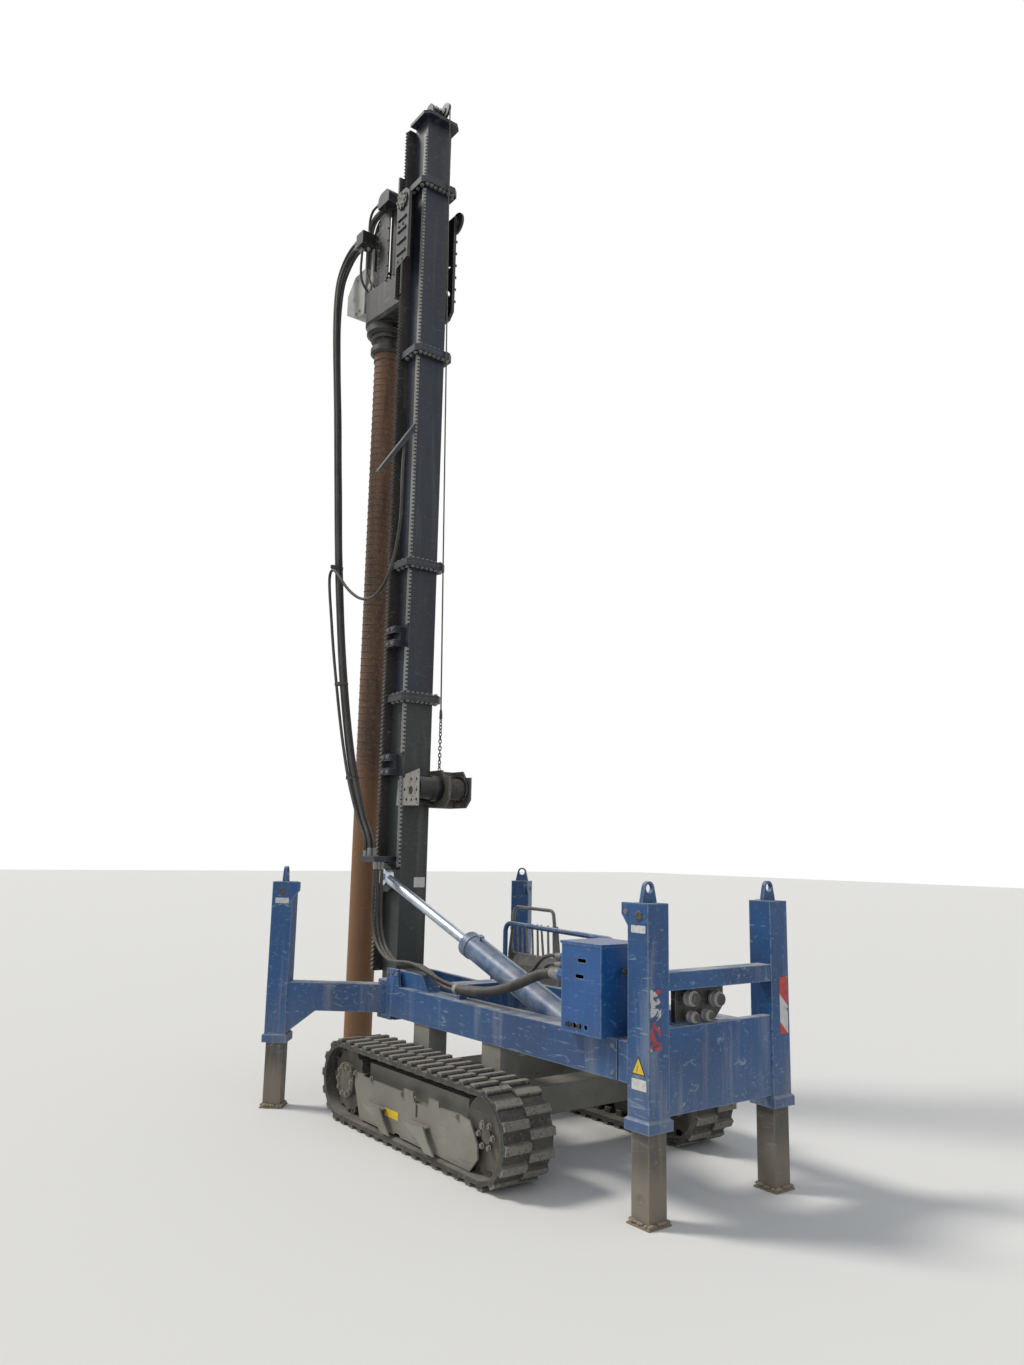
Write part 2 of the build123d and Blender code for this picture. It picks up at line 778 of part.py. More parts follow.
# Clamps, the hose shelf and the slanted hose bar on the mast's left side.
def mast_brackets():
    y0 = mast_width / 2
    y1 = y0 + clamp_proud
    pieces = []
    for z in clamp_heights_z:
        third = clamp_height / 3
        points = ((y0, z), (y1, z), (y1, z + third), (y0 + 30, z + third), (y0 + 30, z + 2 * third),
                  (y1, z + 2 * third), (y1, z + clamp_height), (y0, z + clamp_height))
        pieces.append(front_form(points, clamp_x, clamp_x + clamp_length))
    x0, x1 = hose_bracket_arm_x, hose_bracket_arm_x + hose_bracket_arm
    z0, z1 = hose_bracket_z, hose_bracket_z + hose_bracket_height
    shelf = block(x0, x1, y0, hose_bracket_outer_y, z0, z1)
    shelf += block(x1 - hose_shelf_length, x1, hose_bracket_inner_y, hose_bracket_outer_y, z0, z1)
    pieces.append(shelf)
    pieces.append(hose_bar())
    return Compound(pieces)


def hose_bar():
    y0 = mast_width / 2
    z0 = hose_bar_top_z
    slope = hose_bar_fall / hose_bar_reach
    y1 = y0 + hose_bar_reach
    z1 = z0 - hose_bar_fall
    back = ((y0, z0), (y1, z1), (y1, z1 - hose_bar_width * slope / 2), (y0, z0 - hose_bar_width * slope))
    lip = ((y0, z0), (y1, z1), (y1, z1 - hose_bar_wall * slope), (y0, z0 - hose_bar_wall * slope))
    bar = front_form(back, mast_back_x, mast_back_x + hose_bar_wall)
    return bar + front_form(lip, mast_back_x, mast_back_x + hose_bar_width)


def cylinder_foot():
    y0 = cylinder_y - eye_width / 2 - plate_gap - ear_plate
    y1 = cylinder_y + eye_width / 2 + plate_gap
    x, z = cylinder_foot_x, cylinder_foot_z
    low = beam_bottom_z
    points = ((x - 70, low), (x + 60, low), (x + 60, z + 20), (x + 30, z + 60), (x - 30, z + 60),
              (x - 70, z + 20))
    foot = side_form(points, y0, y0 + ear_plate) + side_form(points, y1, y1 + ear_plate)
    return foot + across(x, z, y0, y1 + ear_plate, cylinder_pin_radius)


rise = rod_eye_z - cylinder_foot_z
reach = rod_eye_x - cylinder_foot_x
cylinder_rest_length = math.hypot(rise, reach)
cylinder_rest_angle = math.degrees(math.atan2(rise, reach))
cylinder_axis = Pos(cylinder_foot_x, cylinder_y, cylinder_foot_z) * Rot(0, -cylinder_rest_angle, 0)


def along(x0, x1, radius):
    return lengthwise(x0, x1, 0, 0, radius)


# Barrel with its gland ring, and the oil pipe along its top on two clips.
def cylinder_barrel():
    half = eye_width / 2
    bore = barrel_radius - barrel_wall
    head = barrel_length - gland_length
    barrel = along(eye_neck, barrel_length, barrel_radius)
    barrel += along(head, barrel_length, barrel_radius + gland_proud)
    barrel -= along(eye_neck + 40, head, bore)
    barrel -= along(head, barrel_length, rod_radius + pin_clearance)
    eye = across(0, 0, -half, half, eye_radius)
    eye += block(0, eye_neck, -half, half, -eye_radius * 0.8, eye_radius * 0.8)
    barrel = barrel + eye - across(0, 0, -half, half, cylinder_pin_radius + pin_clearance)
    z = barrel_radius + oil_pipe_stand
    pipe = nut(eye_neck + 90, head - 20, 0, z, oil_pipe_radius)
    for x in (eye_neck + 90, head - 60):
        pipe += block(x, x + oil_clip_length, -oil_clip_length / 2, oil_clip_length / 2,
                      barrel_radius - 4, z + oil_pipe_radius + 4)
    return cylinder_axis * (barrel + pipe)


def cylinder_rod():
    end = cylinder_rest_length
    half = eye_width / 2
    rod = along(end - rod_length, end - eye_radius * 0.8, rod_radius)
    rod += along(end - rod_length, end - rod_length + 50, barrel_radius - barrel_wall - pin_clearance)
    rod += across(end, 0, -half, half, eye_radius)
    rod += across(end, 0, -half - plate_gap, half + 12, cylinder_pin_radius)
    return cylinder_axis * rod


tool_x = mast_back_x + mast_depth + tool_reach
rack_front_x = mast_back_x + mast_depth + guide_plate
rack_tip_y = guide_half_width + rack_depth
plate_front_x = rack_front_x + carriage_gap + carriage_plate
gearbox_top_z = gearbox_bottom_z + gearbox_height
gearbox_front_x = tool_x + gearbox_front


# The carriage runs on the edges of the guide plate and reaches round both sides of the mast.
def carriage():
    z0, z1 = gearbox_bottom_z, gearbox_bottom_z + carriage_height
    inner = rack_tip_y + carriage_gap
    outer = inner + cheek
    back = rack_front_x + carriage_gap
    body = block(back, plate_front_x, -outer, outer, z0, z1)
    body += block(rack_front_x + seat_gap, back, -guide_half_width, guide_half_width, z0, z1)
    rear = cheek_rear_x
    left = ((rear, z0 + 300), (back, z0 + 260), (back, z0 + 960), (rear + 60, z0 + 960), (rear, z0 + 900))
    body += side_form(left, inner, outer)
    body += upright(rear + 90, inner + cheek / 2, z0, z0 + 300, cheek / 2)
    right = ((rear, z0 - 30), (rear + 60, z0 - 90), (back, z0 - 90), (back, z0 + 860), (rear, z0 + 860))
    plate = side_form(right, -outer, -inner)
    for z in (z0 + 180, z0 + 430):
        slot = Pos(rear + 85, -inner, z) * Rot(90, 0, 0) * SlotOverall(130, 34, rotation=50)
        plate -= extrude(slot, cheek * 2, both=True)
    body += plate
    x, z = mast_back_x + 80, z0 + 810
    body += across(x, z, -outer - sheave_width, -outer, 30)
    return body + across(x, z, -outer - sheave_width, -outer - 6, sheave_radius)


# Hollow gearbox, round at the front about the tool's axis, with the bell under it.
def gearbox():
    z0, z1 = gearbox_bottom_z, gearbox_top_z
    box = gearbox_form(0, z0, z1)
    box = chamfer(box.edges().group_by(Axis.Z)[0], gearbox_bevel)
    box -= gearbox_form(gearbox_wall, z0 + gearbox_wall + gearbox_bevel, z1 - gearbox_wall)
    low = z0 - bell_height
    high = z0 + gearbox_bevel
    bell = ((0, low), (bell_radius - 25, low), (bell_radius, low + 25), (bell_radius, high), (0, high))
    return box + turned(tool_x, 0, bell)


def gearbox_form(inset, z0, z1):
    with BuildSketch() as sketch:
        with Locations((plate_front_x + inset + 50, 0)):
            Rectangle(100, gearbox_rear_width - 2 * inset)
        with Locations((tool_x, 0)):
            Circle(gearbox_radius - inset)
        make_hull()
        with Locations((gearbox_front_x - inset + gearbox_radius, 0)):
            Rectangle(gearbox_radius * 2, gearbox_radius * 2, mode=Mode.SUBTRACT)
    return Pos(0, 0, z0) * extrude(sketch.sketch, z1 - z0)


# Motor column with the rounded box on top, the plate beside it with its hose manifold, and two bent pipes.
def drive_motors():
    x, y = tool_x - motor_set_back, motor_y
    z0, z1 = gearbox_top_z, gearbox_top_z + motor_height
    column = upright(x, y, z0, z1, motor_radius)
    column -= upright(x, y, z0 + motor_wall, z1 - motor_wall, motor_radius - motor_wall)
    box_z = z1 + motor_box_height / 2
    face = Rectangle(motor_box_length, motor_box_height)
    face = fillet(face.vertices().group_by(Axis.Y)[-1], motor_box_round)
    box = Pos(x, y + 95, box_z) * extrude(Plane.XZ * face, 100, both=True)
    inner = offset(face, -motor_wall)
    box -= Pos(x, y + 95, box_z) * extrude(Plane.XZ * inner, 100 - motor_wall, both=True)
    front = x + motor_box_length / 2
    manifold_z = z0 + 470
    manifold_x = tool_x + 30
    end = manifold_x + manifold_length
    plate = ((x + 11, z0), (tool_x - 30, z0), (tool_x, z0 + 30), (tool_x, manifold_z - 40),
             (manifold_x + 40, manifold_z), (manifold_x + 40, manifold_z + manifold_height),
             (tool_x, manifold_z + manifold_height + 30), (tool_x - 30, z1), (x + 11, z1))
    head = column + box + side_form(plate, side_plate_y - side_plate, side_plate_y)
    head += block(manifold_x, end, side_plate_y, manifold_outer_y, manifold_z, manifold_z + manifold_height)
    for port_y in port_spread_y:
        for port_z in (manifold_z + 35, manifold_z + 85):
            head += nut(end, end + port_length, port_y, port_z, port_radius)
    drop_x = gearbox_front_x + pipe_radius + 4
    top = z1 + motor_box_height / 2
    for y in pipe_spread_y:
        route = ((front, y, top), (drop_x - 60, y, top), (drop_x, y, top - 120), (drop_x, y, cover_top_z))
        head += bent_tube(route, pipe_radius, pipe_bend)
    return head


cover_top_z = gearbox_top_z + 325


# Light sheet cover in front of the gearbox, hollow, with slanted edges.
def head_cover():
    x0, x1 = gearbox_front_x, gearbox_front_x + cover_reach
    z0, z1 = gearbox_top_z - 120, cover_top_z
    outline = ((x0, z0), (x0 + 120, z0), (x1, z0 + 125), (x1, z1 - 130), (x0 + 200, z1), (x0, z1))
    face = make_face(Polyline(*outline, close=True))
    inside = offset(face, -cover_wall, kind=Kind.INTERSECTION)
    cover = extrude(Plane.XZ * face, cover_half_width, both=True)
    return cover - extrude(Plane.XZ * inside, cover_half_width - cover_wall, both=True)


def spindle():
    z0, z1 = tool_top_z, gearbox_bottom_z - bell_height - seat_gap
    wide, neck = spindle_radius, spindle_neck
    points = ((0, z0), (wide - 20, z0), (wide, z0 + 20), (wide, z0 + 60), (neck, z0 + 75),
              (neck, z1 - 45), (wide, z1 - 35), (wide, z1), (0, z1))
    return turned(tool_x, 0, points)


# Drill tube with a raised band at its top and at its foot.
def drill_tube():
    z0, z1 = tool_bottom_z, tool_top_z
    tube = upright(tool_x, 0, z0, z1, tool_radius)
    for z in (z0, z1 - tool_band_height):
        tube += upright(tool_x, 0, z, z + tool_band_height, tool_radius + tool_band)
    return tube - upright(tool_x, 0, z0, z1 - tool_wall, tool_radius - tool_wall)


# Two notched side plates on the mast's back, with the drum's shaft between them.
def winch_frame():
    half = drum_length / 2 + 12
    y0, y1 = winch_y - half, winch_y + half
    x0, x1 = winch_x - 120, mast_back_x - flange_proud
    z0, z1 = winch_z - 140, winch_z + 140
    points = ((x0, z0 + 60), (x0 + 60, z0), (x1, z0), (x1, z1), (x0 + 110, z1), (x0 + 70, z1 - 50),
              (x0, z1 - 50))
    frame = side_form(points, y0 - winch_plate, y0) + side_form(points, y1, y1 + winch_plate)
    frame += block(x1, mast_back_x, y0 - winch_plate, y1 + winch_plate, z0, z1)
    return frame + across(winch_x, winch_z, y0, y1, winch_shaft)


def winch_drum():
    half = drum_length / 2
    drum = across(winch_x, winch_z, winch_y - half, winch_y + half, drum_radius)
    for y in (winch_y - half, winch_y + half - drum_flange):
        drum += across(winch_x, winch_z, y, y + drum_flange, drum_flange_radius)
    return drum - across(winch_x, winch_z, winch_y - half, winch_y + half, winch_shaft + pin_clearance)


# Sheet cabinet with its lid, two vent slots, three cable holes and the hose fittings on its front.
def control_cabinet():
    x0, x1 = cabinet_rear_x, cabinet_rear_x + cabinet_length
    y0, y1 = cabinet_outer_y - cabinet_depth, cabinet_outer_y
    lid_z = cabinet_top_z - cabinet_lid
    box = block(x0, x1, y0, y1, beam_top_z, cabinet_top_z)
    proud = cabinet_lid_proud
    box += block(x0 - proud, x1 + proud, y0, y1 + proud, lid_z, cabinet_top_z)
    for z, radius in ((1072, 36), (1120, 16), (1164, 16)):
        box += nut(x1, x1 + fitting_length, sheath_points[0][1], z, radius)
    box -= block(x0 + sheet, x1 - sheet, y0 + sheet, y1 - sheet, beam_top_z + sheet, cabinet_top_z - sheet)
    for share, z in ((0.52, cabinet_top_z - 89), (0.465, cabinet_top_z - 167)):
        spot = Pos(x1 - share * cabinet_length, y1, z) * Rot(90, 0, 0)
        box -= extrude(spot * SlotOverall(slot_length, slot_width), sheet * 2, both=True)
    for share in (0.35, 0.48, 0.63):
        x = x1 - share * cabinet_length
        box -= across(x, beam_top_z + 37, y1 - 2 * sheet, y1 + sheet, grommet_radius)
    return box


# Valve block with ten leaning hand levers under a hoop.
def lever_bank():
    end = lever_rear_x + lever_pitch * lever_count
    half = lever_block_width / 2
    top = lever_block_top_z
    low = ((lever_y - half, beam_top_z), (lever_y + half, beam_top_z), (lever_y + half, top - 70),
           (lever_y + half - 30, top), (lever_y - half + 20, top), (lever_y - half, top - 30))
    tip = top + lever_length
    bank = front_form(low, lever_rear_x, end)
    for index in range(lever_count):
        x = lever_rear_x + lever_pitch * (index + 0.5)
        lean = lever_lean * (0.6 + 0.4 * math.cos(index * 2.1))
        points = ((x - lever_width / 2, top), (x + lever_width / 2, top), (x + lean + 5, tip),
                  (x + lean - 5, tip))
        bank += side_form(points, lever_y - 5, lever_y + 5)
    y = lever_y + 20
    hoop = ((end + 30 - hoop_radius * 4, y, top - 20), (end - hoop_slant, y, hoop_top_z),
            (lever_rear_x + hoop_slant, y, hoop_top_z - 6), (lever_rear_x + hoop_radius * 2, y, top - 20))
    return bank + bent_tube(hoop, hoop_radius, 40)


def guard_rail():
    y = -frame_half_width + beam_width - rail_radius - 1
    points = ((rail_front_x, y, beam_top_z), (rail_front_x, y, rail_z),
              (rail_rear_x, y, rail_z - rail_fall), (rail_rear_x, y, beam_top_z))
    return bent_tube(points, rail_radius, rail_bend)


# A hose's bends are as large as its runs allow: 0.45 of the shorter run sets where each arc starts.
def hose(name, points, diameter):
    corners = [Vector(*point) for point in points]
    runs = [after - before for before, after in zip(corners, corners[1:])]
    radii = []
    for before, after in zip(runs, runs[1:]):
        turn = math.radians(before.get_angle(after))
        radii.append(0.45 * min(before.length, after.length) / math.tan(turn / 2))
    route = FilletPolyline(*corners, radius=radii)
    section = RegularPolygon(diameter / 2, hose_sides)
    tube = sweep(Plane(route @ 0, z_dir=route % 0) * section, path=route)
    fill = tube.volume / (section.area * route.length)
    print(name, "length", round(route.length), "smallest bend", round(min(radii)), "fill", round(fill, 4))
    save(name, tube)


os.makedirs("parts", exist_ok=True)

# Chassis
save("main_frame", main_frame())
save("rear_module", rear_module())
left_post = Pos(post_x, post_y, 0) * jack_post(1)
save("rear_post_left", left_post)
save("rear_post_right", mirrored(left_post))
save("rear_crossbar", rear_crossbar())
save("rear_panel", rear_panel())
save("port_block", port_block())
save("mast_foot", mast_foot())
save("cylinder_foot", cylinder_foot())
save("control_cabinet", control_cabinet())
save("lever_bank", lever_bank())
save("guard_rail", guard_rail())

# Undercarriage
save("undercarriage_beams", Compound(undercarriage_beams()))
left_track = track()
left_frame = track_frame()
save("track_left", left_track)
save("track_right", mirrored(left_track))
save("track_frame_left", left_frame)
save("track_frame_right", mirrored(left_frame))
left_sprocket = sprocket()
left_idler = idler()
save("sprockets", Compound([left_sprocket, mirrored(left_sprocket)]))
save("idlers", Compound([left_idler, mirrored(left_idler)]))
left_rollers = rollers()
save("track_rollers", Compound(left_rollers + [mirrored(roller) for roller in left_rollers]))

# Jack legs and front arms
left_leg = Pos(post_x, post_y, 0) * jack_leg()
save("leg_rear_left", left_leg)
save("leg_rear_right", mirrored(left_leg))
left_arm = arm_turn * swing_arm()
front_post = arm_turn * arm_end * jack_post(-1)
front_leg = arm_turn * arm_end * jack_leg()
save("arm_left", left_arm)
save("arm_right", mirrored(left_arm))
save("front_post_left", front_post)
save("front_post_right", mirrored(front_post))
save("leg_front_left", front_leg)
save("leg_front_right", mirrored(front_leg))

# Mast
save("mast_lower", mast_lower())
low_z = mast_joint_z
for number, length in enumerate(section_lengths, 1):
    save(f"mast_section_{number}", mast_section(low_z, low_z + length, True, number < len(section_lengths)))
    low_z += length
save("mast_cap", mast_cap())
save("front_racks", front_racks())
save("mast_brackets", mast_brackets())
save("winch_frame", winch_frame())
save("winch_drum", winch_drum())
save("cylinder_barrel", cylinder_barrel())
save("cylinder_rod", cylinder_rod())

# Rotary head
save("carriage", carriage())
save("gearbox", gearbox())
save("drive_motors", drive_motors())
save("head_cover", head_cover())
save("spindle", spindle())
save("drill_tube", drill_tube())

# Hoses
hose("hose_sheath", [(rear_x + x, y, z) for x, y, z in sheath_points], sheath_diameter)
for number, points in enumerate((hose_drop_1_points, hose_drop_2_points), 1):
    hose(f"hose_drop_{number}", [(rear_x + x, y, z) for x, y, z in points], hose_diameter)
for number, points in enumerate((hose_low_1_points, hose_low_2_points), 1):
    hose(f"hose_low_{number}", [(rear_x + x, y, z) for x, y, z in points], thin_hose_diameter)
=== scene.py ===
import bmesh
import bpy
import json
import math
from mathutils import Matrix, Vector, geometry


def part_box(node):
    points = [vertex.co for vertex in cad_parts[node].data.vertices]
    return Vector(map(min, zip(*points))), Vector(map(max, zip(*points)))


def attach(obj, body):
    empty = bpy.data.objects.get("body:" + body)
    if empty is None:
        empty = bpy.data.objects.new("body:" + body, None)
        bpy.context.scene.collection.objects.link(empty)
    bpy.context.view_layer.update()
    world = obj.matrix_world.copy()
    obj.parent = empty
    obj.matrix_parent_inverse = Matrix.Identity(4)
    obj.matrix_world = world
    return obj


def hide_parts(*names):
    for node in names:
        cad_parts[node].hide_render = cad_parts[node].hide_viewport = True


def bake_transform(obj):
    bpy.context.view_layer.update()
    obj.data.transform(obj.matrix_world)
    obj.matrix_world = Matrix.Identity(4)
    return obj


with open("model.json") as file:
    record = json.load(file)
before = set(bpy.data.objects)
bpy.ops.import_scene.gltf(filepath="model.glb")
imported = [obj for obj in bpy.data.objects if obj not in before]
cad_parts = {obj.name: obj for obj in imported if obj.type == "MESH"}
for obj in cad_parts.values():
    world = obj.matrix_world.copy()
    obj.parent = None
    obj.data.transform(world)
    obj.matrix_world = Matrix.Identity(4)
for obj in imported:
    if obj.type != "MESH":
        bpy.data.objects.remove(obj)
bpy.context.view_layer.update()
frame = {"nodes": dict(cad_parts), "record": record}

nodes = frame["nodes"]
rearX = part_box("rear_post_left")[0].x + 0.012      # back face of the rear jack posts

# camera, light, floor
shot = {
    "place": (-3.46, 3.975, 1.70),     # from the back of the rear posts, metres
    "heading": -36.995,
    "pitch": 9.675,
    "roll": 1.149,
    "lens": 34.664,
    "sensor": 36.0,
    "clipEnd": 200.0,
}
studio = {
    "backdrop": (1.0, 1.0, 1.0),
    "skyLight": (0.86, 0.92, 1.0),
    "skyStrength": 0.42,
    "sunColour": (1.0, 0.965, 0.9),
    "suns": {                          # turn in degrees, strength, angle in degrees
        "softSun": ((42.0, 0.0, 131.6), 2.0, 14.0),
        "fillSun": ((60.0, 0.0, -127.0), 0.38, 80.0),
    },
    "floorColour": (0.80, 0.79, 0.77, 1.0),
    "floorRough": 0.9,
    "floorSize": 60.0,
}


def addObject(name, data):
    piece = bpy.data.objects.new(name, data)
    bpy.context.scene.collection.objects.link(piece)
    return piece


# an object that rides on a body
def mount(name, data, body):
    piece = addObject(name, data)
    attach(piece, body)
    return piece


# makes the nodes of one tree, each with its inputs and settings
class NodeMaker:
    def __init__(self, tree, prefix=""):
        self.tree = tree
        self.prefix = prefix

    def node(self, kind, inputs, **settings):
        made = self.tree.nodes.new(self.prefix + kind)
        for key, value in settings.items():
            setattr(made, key, value)
        for key, value in inputs.items():
            self.feed(made.inputs[key], value)
        return made

    # a socket takes another node's output, a plain colour or a number
    def feed(self, socket, value):
        if isinstance(value, bpy.types.NodeSocket):
            self.tree.links.new(value, socket)
        elif socket.type == "RGBA":
            socket.default_value = (*value, 1.0)
        else:
            socket.default_value = value


def makeCamera():
    data = bpy.data.cameras.new("viewCamera")
    data.sensor_fit = "HORIZONTAL"
    data.sensor_width = shot["sensor"]
    data.lens = shot["lens"]
    data.clip_end = shot["clipEnd"]
    camera = addObject("viewCamera", data)
    turn = (Matrix.Rotation(math.radians(shot["heading"] - 90), 4, "Z")
            @ Matrix.Rotation(math.radians(90 + shot["pitch"]), 4, "X")
            @ Matrix.Rotation(math.radians(shot["roll"]), 4, "Z"))
    x, y, z = shot["place"]
    camera.matrix_world = Matrix.Translation((rearX + x, y, z)) @ turn
    bpy.context.scene.camera = camera


def makeLight():
    for name, (turn, strength, angle) in studio["suns"].items():
        lamp = bpy.data.lights.new(name, "SUN")
        lamp.energy = strength
        lamp.color = studio["sunColour"]
        lamp.angle = math.radians(angle)
        addObject(name, lamp).rotation_euler = [math.radians(a) for a in turn]
    world = bpy.data.worlds.new("studioWorld")
    world.use_nodes = True
    world.node_tree.nodes.clear()
    maker = NodeMaker(world.node_tree, "ShaderNode")
    path = maker.node("LightPath", {})
    sky = maker.node("Background", {"Color": studio["skyLight"], "Strength": studio["skyStrength"]})
    white = maker.node("Background", {"Color": studio["backdrop"]})
    seen = path.outputs["Is Camera Ray"]
    for ray in ("Is Glossy Ray", "Is Transmission Ray"):
        seen = maker.node("Math", {0: seen, 1: path.outputs[ray]}, operation="MAXIMUM").outputs[0]
    blend = maker.node("MixShader", {"Fac": seen, 1: sky.outputs[0], 2: white.outputs[0]})
    maker.node("OutputWorld", {"Surface": blend.outputs[0]})
    bpy.context.scene.world = world


def makeFloor():
    half = studio["floorSize"]
    mesh = bpy.data.meshes.new("studioFloor")
    corners = [(-half, -half, 0), (half, -half, 0), (half, half, 0), (-half, half, 0)]
    mesh.from_pydata(corners, [], [(0, 1, 2, 3)])
    mat = bpy.data.materials.new("paleFloor")
    mat.use_nodes = True
    shader = mat.node_tree.nodes["Principled BSDF"]
    shader.inputs["Base Color"].default_value = studio["floorColour"]
    shader.inputs["Roughness"].default_value = studio["floorRough"]
    mesh.materials.append(mat)
    addObject("studioFloor", mesh)


makeCamera()
makeLight()
makeFloor()
bpy.context.scene.view_settings.view_transform = "Standard"
print("camera and studio are up")


# finishes


class Recipe(NodeMaker):
    def __init__(self, name):
        self.material = bpy.data.materials.new(name)
        self.material.use_nodes = True
        super().__init__(self.material.node_tree, "ShaderNode")
        self.tree.nodes.clear()
        self.shader = self.node("BsdfPrincipled", {})
        self.node("OutputMaterial", {"Surface": self.shader.outputs[0]})
        self.place = self.node("TexCoord", {}).outputs["Object"]
        self.normal = self.node("NewGeometry", {}).outputs["Normal"]

    def stretch(self, x, y, z, turn=(0, 0, 0)):
        return self.node("Mapping", {"Vector": self.place, "Scale": (x, y, z),
                                     "Rotation": [math.radians(a) for a in turn]}).outputs[0]

    def noise(self, scale, detail=3.0, rough=0.55, place=None, warp=0.0):
        return self.node("TexNoise", {"Vector": place or self.place, "Scale": scale, "Detail": detail,
                                      "Roughness": rough, "Distortion": warp}).outputs["Fac"]

    def between(self, value, low, high):
        return self.node("MapRange", {"Value": value, "From Min": low, "From Max": high},
                         interpolation_type="SMOOTHSTEP").outputs["Result"]

    def calc(self, operation, first, second=0.0, clamp=False):
        return self.node("Math", {0: first, 1: second}, operation=operation, use_clamp=clamp).outputs[0]

    def plus(self, first, second):
        return self.calc("ADD", first, second, True)

    def minus(self, first, second):
        return self.calc("SUBTRACT", first, second, True)

    def times(self, first, second):
        return self.calc("MULTIPLY", first, second)

    def mixed(self, amount, first, second):
        return self.node("Mix", {"Factor": amount, 6: first, 7: second}, data_type="RGBA").outputs[2]

    def part(self, vector, axis):
        return self.node("SeparateXYZ", {0: vector}).outputs[axis]

    # 0 on faces that stand upright, 1 on those that look up
    def upward(self, low, high=0.9):
        return self.between(self.part(self.normal, 2), low, high)

    # 1 along the outer edges of a piece, 0 on its flats
    def edges(self, radius, low=0.02, high=0.25):
        rounded = self.node("Bevel", {"Radius": radius}, samples=4).outputs[0]
        match = self.node("VectorMath", {0: rounded, 1: self.normal}, operation="DOT_PRODUCT")
        return self.between(self.minus(1.0, match.outputs["Value"]), low, high)

    # the last values into the shader; relief is a height, how strong it shows and how deep it is
    def close(self, base, rough, relief=None, metal=0.0):
        self.feed(self.shader.inputs["Base Color"], base)
        self.feed(self.shader.inputs["Roughness"], rough)
        self.feed(self.shader.inputs["Metallic"], metal)
        if relief:
            height, strength, depth = relief
            bump = self.node("Bump", {"Strength": strength, "Distance": depth, "Height": height})
            self.feed(self.shader.inputs["Normal"], bump.outputs[0])
        return self.material


dust = {
    "sand": (0.36, 0.29, 0.21),
    "clay": (0.24, 0.21, 0.165),
    "pale": (0.50, 0.49, 0.46),
    "rust": (0.16, 0.065, 0.03),
    "soot": (0.018, 0.017, 0.016),
}

